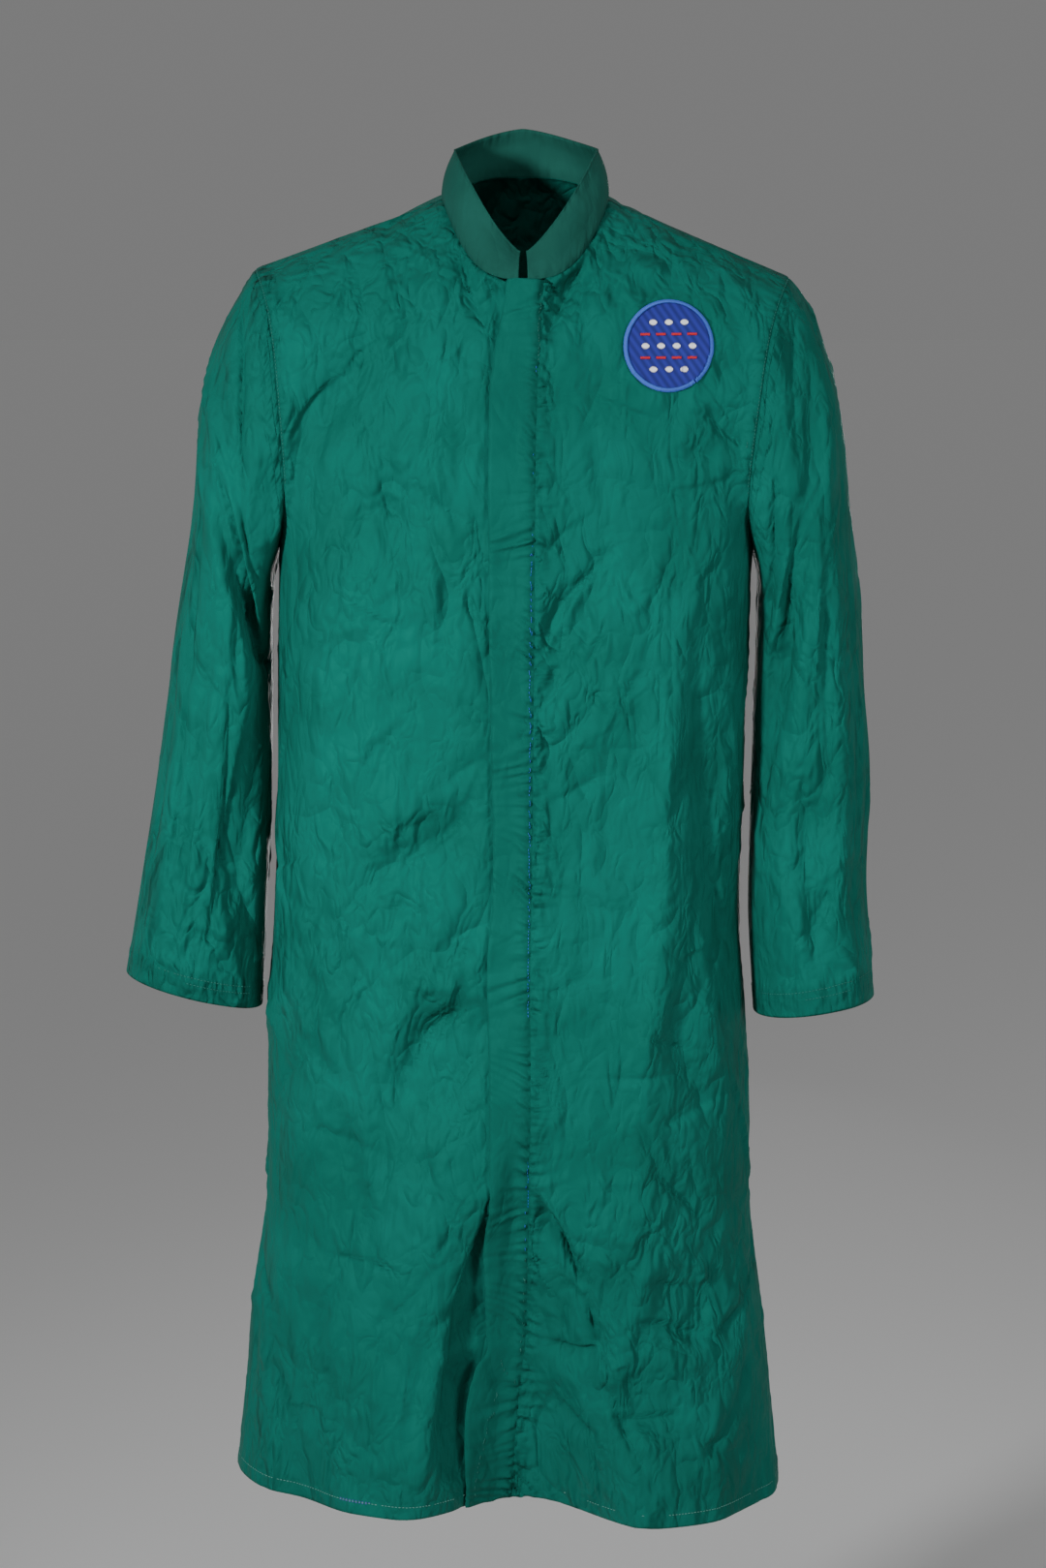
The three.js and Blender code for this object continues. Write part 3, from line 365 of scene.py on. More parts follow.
# Placket: how far its free edge turns in, a pressed line across under the collar, and the dimple of a
# fastener below the chest
FREE_EDGE_TURN = 1.3
PRESSED_LINE_Z = -106
DIMPLE_Q = -14
DIMPLE_Z = -284

# Stitches
CUFF_ROWS = (13.0, 19.0)
ARMHOLE_STITCH_ROWS = (1.8, 7.6)
STITCH_PITCH = 3.0
# Length, width and height of one stitch
STITCH = (2.4, 0.75, 0.45)
# Rows along the placket: their distances from its edge and the heights where the thread changes
BLUE_ROW_IN = 1.8
GREEN_ROW_IN = 0.8
PLACKET_ROW_HEIGHTS = (-1105, -890, -130, -72)
# A short row across the top of the placket: x of both ends, y and z
NECK_TACK = (1.0, 9.0, -86.0, -68.0)
# The row along the hem, and how many of its points lie under the placket on the right front
HEM_POINTS = 400
HEM_POINTS_COVERED = 55
# Where the hem was mended, and how far the rows of the mend lie from the hem's own row
MENDED_FROM = -157
MENDED_TO = -129
MENDED_ROWS = (-1.6, -0.7, 0.8)

# The patch: a twill disc with an overlocked edge, rows of round white knots and short red bars between them
PATCH_STEPS = 96
PATCH_RINGS = 21
PATCH_LIFT = 1.3
PATCH_THICK = 1.0
EDGE_STITCHES = 230
EDGE_INSET = 2.2
THREAD_LIFT = 1.5
# Length, width and height of an edge stitch, and width and height of a satin stitch
EDGE_STITCH = (4.4, 1.3, 1.5)
SATIN_STITCH = (0.95, 1.1)
# Columns: height above the middle, how many
KNOT_ROWS = [(19.0, 3), (0.0, 4), (-19.0, 3)]
BAR_ROWS = [(9.5, 4), (-9.5, 4)]
MOTIF_STEP = 13.0
KNOT_RADIUS = 3.1
BAR_LONG = 7.5
BAR_TALL = 2.6
SATIN_STEP = 0.8

# Sizes of the patterns in the materials. The threads of the weave and the ribs of the twill are drawn
# coarser than the real 0.35 and 0.9 mm, and the twist of a thread far coarser, so that they show.
WEAVE_PITCH = 2.2
TWILL_PITCH = 5.65
TWIST_PITCH = 6.98
CLOUD_SIZE = 71.4
GRAIN_SIZE = 10.53
DENT_SIZE = 33.3
# Small creases in three sizes, with the share of each, and the size of the areas where they come and go
CREASED_SIZES = [(100.0, 1.0), (43.5, 0.5), (19.23, 0.26)]
CREASED_AREA = 200.0
CREASED_DEEP = 48.0
# Gathers beside the stitches: waves for each millimetre along and across the seam, reach and depth
GATHERS_ALONG = 0.11
GATHERS_ACROSS = 0.045
GATHER_REACH = 20.0
GATHER_DEEP = 6.0
# Painted shade beside the seams: the colour's factor at the stitches, and how far the shade reaches in
# millimetres
SEAM_SHADE = 0.84
SEAM_SHADE_REACH = 9.0

# The floor, the camera and the light. These are in metres, as the scene is.
FLOOR_SIZE = 60
FLOOR_Z = -1.52
CAMERA_AT = (0.0, -3.694, 0.055)
CAMERA_DOWN = 8.5
CAMERA_LENS = 100
CAMERA_SENSOR = 36
WORLD_HORIZON = 0.2
WORLD_ABOVE = 0.23
# Columns: name, place, what it points at, size, power, spread
LIGHTS = [
    ("key", (-2.2, -2.9, 0.3), (0.0, 0.0, -0.5), 0.5, 11.8, 50),
    ("fill", (2.6, -2.4, 0.1), (0.0, 0.0, -0.5), 1.2, 5.0, 50),
    ("top", (-0.3, -1.8, 2.4), (0.0, 0.0, -0.4), 1.0, 1.5, 60),
    ("behind", (0.4, 3.8, -0.7), (0.0, 0.0, -0.6), 1.5, 3.5, 40),
]


# Small helpers

def mix(a, b, share):
    """The value that lies at the given share of the way from a to b."""
    return a + (b - a) * share


def smooth(value, start, end):
    """3u^2 - 2u^3 with u running from 0 at start to 1 at end. End may be the smaller one."""
    u = np.clip((value - start) / (end - start), 0, 1)
    return u * u * (3 - 2 * u)


def unit(vectors):
    """Each vector over its own length."""
    return vectors / np.maximum(np.linalg.norm(vectors, axis=-1, keepdims=True), 1e-9)


def run_along(line):
    """How far along a line of points each of them lies."""
    return np.concatenate([[0], np.cumsum(np.linalg.norm(np.diff(line, axis=0), axis=1))])


def table(rows, column, at):
    """A table's column at any place: cubic Hermite pieces through its rows, which are sorted by column 0."""
    rows = np.asarray(rows, float)
    key = rows[:, 0]
    value = rows[:, column]
    at = np.clip(np.asarray(at, float), key[0], key[-1])
    i = np.clip(np.searchsorted(key, at, side="right") - 1, 0, len(key) - 2)
    before = np.maximum(np.arange(len(key)) - 1, 0)
    after = np.minimum(np.arange(len(key)) + 1, len(key) - 1)
    slope = (value[after] - value[before]) / (key[after] - key[before])
    step = key[i + 1] - key[i]
    u = (at - key[i]) / step
    first = (2 * u**3 - 3 * u**2 + 1) * value[i] + (u**3 - 2 * u**2 + u) * slope[i] * step
    second = (3 * u**2 - 2 * u**3) * value[i + 1] + (u**3 - u**2) * slope[i + 1] * step
    return first + second


def squircle(angle, roundness):
    """Cosine and sine raised to 2 / roundness, so that the circle turns into a rounded box."""
    c = np.cos(angle)
    s = np.sin(angle)
    power = 2 / roundness
    return np.sign(c) * np.abs(c) ** power, np.sign(s) * np.abs(s) ** power


def xyz(x, y, z):
    """Three arrays, or numbers, as one array of points."""
    return np.stack(np.broadcast_arrays(x, y, z), axis=-1).astype(float)


# The seams that the pieces share

def armhole(side, face, angle):
    """The armhole seam. Angle 0 is the shoulder tip and pi the underarm."""
    c, s = squircle(angle, ARMHOLE_ROUNDNESS)
    scoop = side["scoop"] * (1 - c**4)
    x = (side["tip_x"] + side["underarm"]) / 2 + (side["tip_x"] - side["underarm"]) / 2 * c - scoop
    z = (side["tip_z"] + UNDERARM_Z) / 2 + (side["tip_z"] - UNDERARM_Z) / 2 * c
    depth = ARMHOLE_FRONT if face == FRONT else ARMHOLE_BACK
    return xyz(side["sign"] * x, SIDE_SEAM_Y + face * depth * s, z)


def neck(side, face, angle):
    """The neck seam. Angle 0 is the centre front or back and pi / 2 the shoulder."""
    end_y, end_z = NECK_FRONT if face == FRONT else NECK_BACK
    lift = np.sin(angle) ** 3
    x = side["sign"] * side["neck"] * np.sin(angle)
    return xyz(x, end_y * np.cos(angle), mix(end_z, NECK_SIDE_Z, lift))


def neck_out(side, face, angle):
    """The direction out of the cloth at the neck seam."""
    middle = 32 if face == FRONT else 16
    rise = np.radians(mix(middle, 42, np.sin(angle) ** 2))
    flat = unit(xyz(side["sign"] * np.sin(angle), face * np.cos(angle), 0))
    return flat * np.cos(rise)[..., None] + xyz(0, 0, np.sin(rise))


def armhole_out(side, face, angle):
    """The direction out of the cloth at the upper half of the armhole seam, and how strongly it holds."""
    c = np.maximum(np.cos(angle), 0)
    s = np.sin(np.minimum(angle, math.pi / 2))
    shared = xyz(side["sign"] * (0.64 * c + 0.3 * s), face * 0.95 * s, 0.77 * c)
    return unit(shared), 1 - np.clip(-np.cos(angle) * 1.3, 0, 1)


LEFT_NECK_START = math.asin(float(table(PLACKET, 2, NECK_FRONT[1])) / LEFT["neck"])


def neck_rows(face):
    """The number of table rows that end in the neck."""
    return FRONT_NECK_ROWS if face == FRONT else BACK_NECK_ROWS


def neck_angle(side, face, v):
    """The place on the neck seam where row v starts."""
    start = LEFT_NECK_START if face == FRONT and side is LEFT else 0.0
    rows = neck_rows(face)
    return mix(start, math.pi / 2, np.clip((v - (TOP_ROW - rows)) / rows, 0, 1))


# The cloth of the body: each row v is a cubic Bezier from the centre line to the side seam or armhole

def skirt_controls(side, face, v):
    """Control points of the rows below the underarm."""
    z = mix(HEM_Z, UNDERARM_Z, v / SKIRT_ROWS)
    side_z = mix(side["hem_z"], UNDERARM_Z, v / SKIRT_ROWS)
    width = side["sign"] * table(BODY, 2 if side is LEFT else 1, z)
    depth = face * table(BODY, 3 if face == FRONT else 4, z)
    full = table(BODY, 5, z)
    dip = side["hem_dip"] * smooth(v, SKIRT_ROWS / 2, 0) * (1 if face == FRONT else 0)
    return [
        xyz(0, depth, z),
        xyz(width * full, depth, z - dip),
        xyz(width, mix(SIDE_SEAM_Y, depth, full), side_z - dip),
        xyz(width, SIDE_SEAM_Y, side_z),
    ]


def bezier(p, t):
    """(1-t)^3 p0 + 3(1-t)^2 t p1 + 3(1-t) t^2 p2 + t^3 p3."""
    t = np.asarray(t)[..., None]
    return (1 - t) ** 3 * p[0] + 3 * (1 - t) ** 2 * t * p[1] + 3 * (1 - t) * t**2 * p[2] + t**3 * p[3]


def cut_section(start, leave, width, full, end):
    """The body's section as far as the depth of end, widened to finish there."""
    p1 = start + leave * (full * (width - np.abs(start[:, 0])))[:, None]
    side_x = np.sign(end[:, 0]) * width
    p2 = xyz(side_x, mix(SIDE_SEAM_Y, start[:, 1], full), end[:, 2])
    p3 = xyz(side_x, SIDE_SEAM_Y, end[:, 2])
    low = np.zeros(len(start))
    high = np.ones(len(start))
    for _ in range(HALVINGS):
        middle = (low + high) / 2
        deeper = np.abs(bezier([start, p1, p2, p3], middle)[:, 1]) > np.abs(end[:, 1])
        low = np.where(deeper, middle, low)
        high = np.where(deeper, high, middle)
    share = low[:, None]
    first = mix(start, p1, share)
    second = mix(first, mix(p1, p2, share), share)
    reached = bezier([start, p1, p2, p3], low)[:, 0]
    stretch = np.where(np.abs(reached) > 1, end[:, 0] / np.where(np.abs(reached) > 1, reached, 1), 1)
    first[:, 0] *= stretch
    second[:, 0] *= stretch
    return first, second


def yoke_controls(side, face, v):
    """Control points of the rows between the underarm and the shoulder seam."""
    w = np.minimum((v - SKIRT_ROWS) / YOKE_ROWS, 1)
    rows = neck_rows(face)
    angle = neck_angle(side, face, v)
    on_neck = v > TOP_ROW - rows
    end = armhole(side, face, math.pi * (1 - w))
    top = NECK_FRONT[1] - CENTRE_TOP_DROP if face == FRONT else NECK_BACK[1]
    z = mix(UNDERARM_Z, top, np.minimum(w * YOKE_ROWS / (YOKE_ROWS - rows), 1))
    centre = xyz(0, face * table(CHEST if face == FRONT else SHOULDERS, 1, z), z)
    start = np.where(on_neck[:, None], neck(side, face, angle), centre)
    level = xyz(np.full(len(v), float(side["sign"])), 0, 0)
    straight_on = unit(end - start)
    turned = unit(mix(level, straight_on, np.sin(angle)[:, None]))
    leave = np.where(on_neck[:, None], turned, level)
    full = float(table(BODY, 5, UNDERARM_Z))
    cut_first, cut_second = cut_section(start, leave, side["underarm"], full, end)
    across = np.abs(end[:, 0] - start[:, 0])[:, None]
    turn = math.radians(YOKE_TURN)
    arrive = xyz(np.full(len(v), side["sign"] * math.cos(turn)), -face * math.sin(turn), 0)
    arrive = unit(mix(arrive, straight_on, smooth(w, 0.6, 1)[:, None]))
    straight = smooth(w, *YOKE_STRAIGHTENS)[:, None]
    first = mix(cut_first, start + leave * YOKE_FULL * across, straight)
    second = mix(cut_second, end - arrive * YOKE_FULL * across, straight)
    return [start, first, second, end]


def row_controls(side, face, v):
    """Control points of all rows v, which run upwards."""
    low = v <= SKIRT_ROWS
    skirt = skirt_controls(side, face, v[low])
    if low.all():
        return skirt
    yoke = yoke_controls(side, face, v[~low])
    return [np.concatenate(pair) for pair in zip(skirt, yoke)]


class Rows:
    """The rows of one side of the front or back, measured along their length."""

    def __init__(self, side, face, v):
        self.side = side
        self.face = face
        self.v = v
        self.controls = row_controls(side, face, v)
        self.t = np.linspace(0, 1, ROW_STEPS)
        line = bezier([p[:, None] for p in self.controls], np.broadcast_to(self.t, (len(v), ROW_STEPS)))
        steps = np.linalg.norm(np.diff(line, axis=1), axis=2)
        self.reached = np.concatenate([np.zeros((len(v), 1)), np.cumsum(steps, axis=1)], axis=1)
        self.start = np.abs(self.controls[0][:, 0])
        self.length = self.reached[:, -1]
        self.end = self.start + self.length

    def at(self, q):
        """Points at the distances q, with the main folds sunk into them."""
        along = np.abs(q) - self.start[:, None]
        along = np.clip(along, 0, self.length[:, None])
        t = np.stack([np.interp(a, r, self.t) for a, r in zip(along, self.reached)])
        point = bezier([p[:, None] for p in self.controls], t)
        u = along / self.length[:, None]
        v = np.broadcast_to(self.v[:, None], q.shape)
        neck_start = TOP_ROW - neck_rows(self.face)
        clear = mix(1, smooth(along, 0, 25), smooth(v, neck_start - 1, neck_start))
        edge = smooth(u, 1, 0.82) * smooth(v, TOP_ROW, TOP_ROW - 4) * clear
        folds = FRONT_FOLDS if self.face == FRONT else BACK_FOLDS
        depth = fold_depth(folds, q, point[..., 2]) * edge
        point[..., 0] -= depth * 0.1 * np.sign(q) * smooth(np.abs(q), 60, 200)
        point[..., 1] -= self.face * depth
        return point


def soften(points, v, row, reach, clear=0.0):
    """Evens out a kink along one row of a grid: each row near it moves to the middle of its neighbours.
    The side edge stays, and so does the centre where clear says how much of the row it takes."""
    across = np.linspace(0, 1, points.shape[1])
    ends = smooth(across, 1, 0.95) * (smooth(across, 0, clear) if clear else 1)
    weight = 0.5 * smooth(np.abs(v - row), reach, 0)[:, None] * ends
    for _ in range(SOFTENINGS):
        middle = (points[:-2] + points[2:]) / 2
        points[1:-1] += (middle - points[1:-1]) * weight[1:-1, :, None]
    return points


def even_out(points, v, face):
    """Evens out the rows where the skirt meets the yoke, and where the neck starts."""
    points = soften(points, v, SKIRT_ROWS, 1.0)
    return soften(points, v, TOP_ROW - neck_rows(face), 1.6, 0.2)


def across_centre(face, v, q):
    """Points of a panel that reaches over the centre line, at rows v and distances q."""
    points = Rows(RIGHT, face, v).at(np.minimum(q, 0))
    left = Rows(LEFT, face, v).at(np.maximum(q, 0))
    return np.where((q < 0)[..., None], points, left)


def nearest_on_path(p, q, points):
    """Squared distance from the places (p, q) to a bent line through some points, and the share along it."""
    best = np.full(p.shape, np.inf)
    along = np.zeros(p.shape)
    pieces = len(points) - 1
    for i in range(pieces):
        ax, ay = points[i]
        dx = points[i + 1][0] - ax
        dy = points[i + 1][1] - ay
        u = np.clip(((p - ax) * dx + (q - ay) * dy) / (dx * dx + dy * dy), 0, 1)
        near = (p - ax - u * dx) ** 2 + (q - ay - u * dy) ** 2
        closer = near < best
        best = np.where(closer, near, best)
        along = np.where(closer, (i + u) / pieces, along)
    return best, along


def quadratic(x0, y0, x1, y1, x2, y2):
    """Fifteen points of the curve (1-u)^2 p0 + 2u(1-u) p1 + u^2 p2."""
    u = np.linspace(0, 1, 15)
    x = (1 - u) ** 2 * x0 + 2 * u * (1 - u) * x1 + u**2 * x2
    y = (1 - u) ** 2 * y0 + 2 * u * (1 - u) * y1 + u**2 * y2
    return list(zip(x, y))


def fold_depth(folds, q, z):
    """Depth of the main folds: cos^2 across each, and a sine or a power of the way along it."""
    total = np.zeros(q.shape)
    for *path, w0, w1, depth, stays_open in folds:
        near, along = nearest_on_path(q, z, quadratic(*path))
        width = mix(w0, w1, along)
        share = np.minimum(np.sqrt(near) / (2 * width), 1)
        taper = along**0.9 if stays_open else np.sin(math.pi * np.clip(along, 0.08, 0.92))
        total += depth * np.cos(share * math.pi / 2) ** 2 * taper
    return total


# Fine creases

def crease_depth(creases, p, q):
    """Depth of the creases at the places (p, q). With s the distance across over the half-width:
    exp(-s^2) for a trough, (1 - exp(-8 s^2)) (1 - s/6)^2 for an edge, exp(-2|s|) for a pressed line."""
    total = np.zeros(p.shape)
    for x0, y0, x1, y1, bow, width, depth, skew in creases:
        dx = x1 - x0
        dy = y1 - y0
        long = math.hypot(dx, dy)
        reach = (6 if 0 < abs(skew) < 2 else 3) * width + abs(bow)
        inside = (p > min(x0, x1) - reach) & (p < max(x0, x1) + reach)
        inside &= (q > min(y0, y1) - reach) & (q < max(y0, y1) + reach)
        px = p[inside] - x0
        py = q[inside] - y0
        along = np.clip((px * dx + py * dy) / long**2, 0, 1)
        s = ((px * dy - py * dx) / long - bow * 4 * along * (1 - along)) / width
        beyond = np.hypot(px - along * dx, py - along * dy)
        s = np.where((along > 0) & (along < 1), s, beyond / width)
        bell = np.exp(-s * s)
        if skew == 2:
            shape = np.exp(-2 * np.abs(s))
        else:
            beside = s if skew > 0 else -s
            edge = np.where(beside > 0, 1 - np.exp(-8 * beside**2), 0) * np.clip(1 - beside / 6, 0, 1) ** 2
            shape = (1 - abs(skew)) * bell + 1.25 * abs(skew) * edge
        total[inside] += depth * shape * np.sin(math.pi * along) ** 0.8
    return total


def crumple(seed, count, low, high, straight_up):
    """Seeded small creases over the rectangle from low to high. Most run up or on a slant."""
    rng = np.random.default_rng(CRUMPLE_SEED + seed)
    centre = rng.uniform(low, high, (count, 2))
    size = rng.uniform(0, 1, count) ** 2.2
    long = mix(*CRUMPLE_LENGTH, size)
    upright = rng.random(count) < straight_up
    tilt = np.where(upright, rng.normal(90, 16, count), rng.uniform(0, 180, count))
    half = np.stack([np.cos(np.radians(tilt)), np.sin(np.radians(tilt))], axis=1) * long[:, None] / 2
    width = mix(*CRUMPLE_WIDTH, size * 0.6 + rng.random(count) * 0.4)
    depth = mix(*CRUMPLE_DEPTH, rng.random(count) ** 1.5 * (0.4 + 0.6 * size)) * rng.choice([-1, 1], count)
    skew = rng.choice([0.0, 0.85, -0.85, 2.0], count, p=[0.14, 0.38, 0.38, 0.1])
    bow = rng.normal(0, 0.06, count) * long
    return np.column_stack([centre - half, centre + half, bow, width, depth, skew])


def pucker(along, near, height, pitch, reach, slant):
    """Uneven waves along a line of stitches, dying away from it: sin(2 pi s / pitch) exp(-near / reach).
    The slant, the pitch, the height and the reach all wander along the line."""
    lean = slant * np.sin(along / 31.0 + 0.9) + 0.5 * slant
    s = along + lean * near + 4.4 * np.sin(along / 19.0) + 2.3 * np.sin(along / 7.3 + 1.3)
    strength = 0.55 + 0.3 * np.sin(along / 11.7 + 0.6)
    strength = strength + 0.3 * np.sin(along / 29.0 + 2.0) * np.sin(along / 6.1)
    length = reach * (1 + 0.45 * np.sin(along / 14.9 + 1.0) + 0.25 * np.sin(along / 5.7))
    wave = np.sin(2 * math.pi * s / pitch) + 0.35 * np.sin(2 * math.pi * s / (0.57 * pitch) + 1.1)
    return height * np.clip(strength, 0.05, 1.2) * wave * np.exp(-near / length)


def near_line(points, line):
    """Distance from each point to a dense line of points, how far along the line that is, and which point."""
    flat = points.reshape(-1, 3)
    run = run_along(line)
    gap = np.empty(len(flat))
    nearest = np.empty(len(flat), int)
    for i in range(0, len(flat), 4096):
        part = flat[i:i + 4096]
        away = ((part[:, None] - line[None]) ** 2).sum(-1)
        best = away.argmin(1)
        gap[i:i + 4096] = np.sqrt(away[np.arange(len(part)), best])
        nearest[i:i + 4096] = best
    shape = points.shape[:-1]
    return gap.reshape(shape), run[nearest].reshape(shape), nearest.reshape(shape)


def grid_normals(points, turn):
    """Unit normals of a grid of points, from its own slopes. turn is 1 or -1."""
    up = np.gradient(points, axis=0)
    across = np.gradient(points, axis=1)
    return unit(np.cross(across, up)) * turn


# Meshes

def quads_of(index):
    """The quads of a grid of vertex numbers."""
    return np.stack([index[:-1, :-1], index[:-1, 1:], index[1:, 1:], index[1:, :-1]], axis=-1).reshape(-1, 4)


def rim_of(quads, count):
    """Quads that close a shell along every edge that only one quad has."""
    edges = np.concatenate([quads[:, [i, (i + 1) % 4]] for i in range(4)])
    code = edges[:, 0] * count + edges[:, 1]
    other = edges[:, 1] * count + edges[:, 0]
    open_edges = edges[~np.isin(code, other)]
    a, b = open_edges[:, 0], open_edges[:, 1]
    return np.stack([a, a + count, b + count, b], axis=1)


def make_mesh(name, points, faces, material, uv=None, fields=None):
    """A smooth-shaded object from points in millimetres, with a cloth map and named number fields."""
    mesh = bpy.data.meshes.new(name)
    mesh.from_pydata((points * MM).tolist(), [], faces.tolist() if hasattr(faces, "tolist") else faces)
    mesh.polygons.foreach_set("use_smooth", np.ones(len(mesh.polygons), bool))
    if uv is not None:
        corners = np.empty(len(mesh.loops), np.int32)
        mesh.loops.foreach_get("vertex_index", corners)
        layer = mesh.uv_layers.new(name="cloth")
        layer.data.foreach_set("uv", (uv[corners] * MM).astype(np.float32).ravel())
    for field, values in (fields or {}).items():
        attribute = mesh.attributes.new(field, "FLOAT", "POINT")
        attribute.data.foreach_set("value", values.astype(np.float32))
    mesh.materials.append(material)
    mesh.update()
    thing = bpy.data.objects.new(name, mesh)
    bpy.context.scene.collection.objects.link(thing)
    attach(thing, "root")
    return thing


def cloth_shell(name, points, normals, quads, thick, material, uv, fields):
    """A thin closed shell: the outer layer, the same layer moved in, and rims between them."""
    count = len(points)
    faces = np.concatenate([quads, quads[:, ::-1] + count, rim_of(quads, count)])
    both = np.concatenate([points, points - normals * thick])
    doubled = {key: np.concatenate([value, value]) for key, value in fields.items()}
    return make_mesh(name, both, faces, material, np.concatenate([uv, uv]), doubled)


def grid_shell(name, points, normals, thick, material, uv, near, along, flip=False):
    """A cloth shell over a whole grid of points. Near and along place each point beside the stitches."""
    quads = quads_of(np.arange(points[..., 0].size).reshape(points.shape[:2]))
    if flip:
        quads = quads[:, ::-1]
    flat_uv = np.stack([part.ravel() for part in uv], axis=1)
    fields = {"stitch_near": near.ravel(), "stitch_along": along.ravel()}
    return cloth_shell(name, points.reshape(-1, 3), normals.reshape(-1, 3), quads, thick, material, flat_uv,
                       fields)


# Materials

def srgb(code):
    """A hex colour as linear red, green, blue and 1."""
    parts = [int(code[i:i + 2], 16) / 255 for i in (0, 2, 4)]
    return [c / 12.92 if c <= 0.04045 else ((c + 0.055) / 1.055) ** 2.4 for c in parts] + [1.0]


def connect(tree, node, inputs):
    """Sets each input of a node to its value, or links it to its socket."""
    for key, value in inputs.items():
        if isinstance(value, bpy.types.NodeSocket):
            tree.links.new(value, node.inputs[key])
        else:
            node.inputs[key].default_value = value


def add(tree, kind, inputs=None, **settings):
    """One shader node, with its settings, and its inputs set or linked."""
    node = tree.nodes.new("ShaderNode" + kind)
    for key, value in settings.items():
        setattr(node, key, value)
    connect(tree, node, inputs or {})
    return node


def new_material(name):
    """A material, its node tree and its shader."""
    material = bpy.data.materials.new(name)
    material.use_nodes = True
    return material, material.node_tree, material.node_tree.nodes["Principled BSDF"]


def small_creases(tree, place):
    """Crisp little creases where a noise passes its middle value: |noise - 0.5|, in three sizes.
    They come and go over the cloth, which is smooth elsewhere."""
    tall = add(tree, "Mapping", {"Vector": place, "Scale": (1.0, 1.0, 0.55)}).outputs[0]
    total = 0.0
    for size, share in CREASED_SIZES:
        noise = add(tree, "TexNoise", {"Vector": tall, "Scale": 1 / (size * MM), "Detail": 2.0,
                                       "Distortion": 0.5})
        offset = add(tree, "Math", {0: noise.outputs["Fac"], 1: 0.5}, operation="SUBTRACT").outputs[0]
        height = add(tree, "Math", {0: offset}, operation="ABSOLUTE").outputs[0]
        total = add(tree, "Math", {0: height, 1: share, 2: total}, operation="MULTIPLY_ADD").outputs[0]
    where = add(tree, "TexNoise", {"Vector": place, "Scale": 1 / (CREASED_AREA * MM), "Detail": 1.0})
    amount = add(tree, "MapRange", {"Value": where.outputs["Fac"], "From Min": 0.4, "From Max": 0.62,
                                    "To Min": 0.5, "To Max": 1.0})
    return add(tree, "Math", {0: total, 1: amount.outputs[0]}, operation="MULTIPLY").outputs[0]


def gathers(tree, near, along, strength):
    """Gathers that run away from the stitches: noise that is long across the seam and short along it."""
    lengthwise = add(tree, "Math", {0: along, 1: GATHERS_ALONG}, operation="MULTIPLY").outputs[0]
    crosswise = add(tree, "Math", {0: near, 1: GATHERS_ACROSS}, operation="MULTIPLY").outputs[0]
    place = add(tree, "CombineXYZ", {"X": lengthwise, "Y": crosswise}).outputs[0]
    noise = add(tree, "TexNoise", {"Vector": place, "Scale": 1.0, "Detail": 1.0, "Roughness": 0.5})
    fade = add(tree, "MapRange", {"Value": near, "From Min": 0.0, "From Max": GATHER_REACH,
                                  "To Min": strength, "To Max": 0.0}, interpolation_type="SMOOTHERSTEP")
    return add(tree, "Math", {0: noise.outputs["Fac"], 1: fade.outputs[0]}, operation="MULTIPLY").outputs[0]


def weave(tree, cloth):
    """Threads both ways: one wave times the other."""
    across, up = [add(tree, "TexWave", {"Vector": cloth, "Scale": 2 * math.pi / 20 / (WEAVE_PITCH * MM)},
                      bands_direction=axis).outputs["Fac"] for axis in ("X", "Y")]
    return add(tree, "Math", {0: across, 1: up}, operation="MULTIPLY").outputs[0]


def nylon(name, colour, dark, roughness, puckers, creases):
    """Plain-woven nylon: a soft satin sheen, faint cloudiness, a fine weave and puckers along the seams."""
    material, tree, shader = new_material(name)
    cloth = add(tree, "UVMap", uv_map="cloth").outputs["UV"]
    near = add(tree, "Attribute", attribute_name="stitch_near").outputs["Fac"]
    along = add(tree, "Attribute", attribute_name="stitch_along").outputs["Fac"]
    place = add(tree, "TexCoord").outputs["Object"]

    cloud = add(tree, "TexNoise", {"Vector": place, "Scale": 1 / (CLOUD_SIZE * MM), "Detail": 4.0})
    tone = add(tree, "MapRange", {"Value": cloud.outputs["Fac"], "From Min": 0.3, "From Max": 0.7,
                                  "To Min": 0.0, "To Max": 1.0})
    base = add(tree, "Mix", {"Factor": tone.outputs[0], "A": srgb(dark), "B": srgb(colour)}, data_type="RGBA")
    # The picture shows the seams a little darker, where the cloth is gathered.
    # Painted shade: the base colour is multiplied down to SEAM_SHADE at the stitches and fades out over
    # SEAM_SHADE_REACH.
    shade = add(tree, "MapRange", {"Value": near, "From Min": 0.0, "From Max": SEAM_SHADE_REACH,
                                   "To Min": SEAM_SHADE, "To Max": 1.0})
    shaded = add(tree, "VectorMath", {0: base.outputs["Result"], 1: shade.outputs[0]}, operation="MULTIPLY")

    grain = add(tree, "TexNoise", {"Vector": place, "Scale": 1 / (GRAIN_SIZE * MM), "Detail": 5.0})
    dents = add(tree, "TexNoise", {"Vector": place, "Scale": 1 / (DENT_SIZE * MM), "Detail": 3.0,
                                   "Distortion": 0.6})
    # Columns: height, depth in millimetres, strength
    layers = [
        (weave(tree, cloth), 0.03, 0.35),
        (grain.outputs["Fac"], 0.5, 0.35),
        (dents.outputs["Fac"], 1.4, 0.5),
        (small_creases(tree, place), CREASED_DEEP, creases),
        (gathers(tree, near, along, puckers), GATHER_DEEP, 0.9),
    ]
    under = {}
    for height, deep, strength in layers:
        bump = add(tree, "Bump", {"Height": height, "Distance": deep * MM, "Strength": strength, **under})
        under = {"Normal": bump.outputs[0]}
    connect(tree, shader, {
        "Base Color": shaded.outputs[0], "Normal": under["Normal"], "Roughness": roughness,
        "Specular IOR Level": 0.13, "Specular Tint": srgb("3fae98"),
        "Sheen Weight": 0.03, "Sheen Roughness": 0.4, "Sheen Tint": srgb("5fc0aa"),
    })
    return material


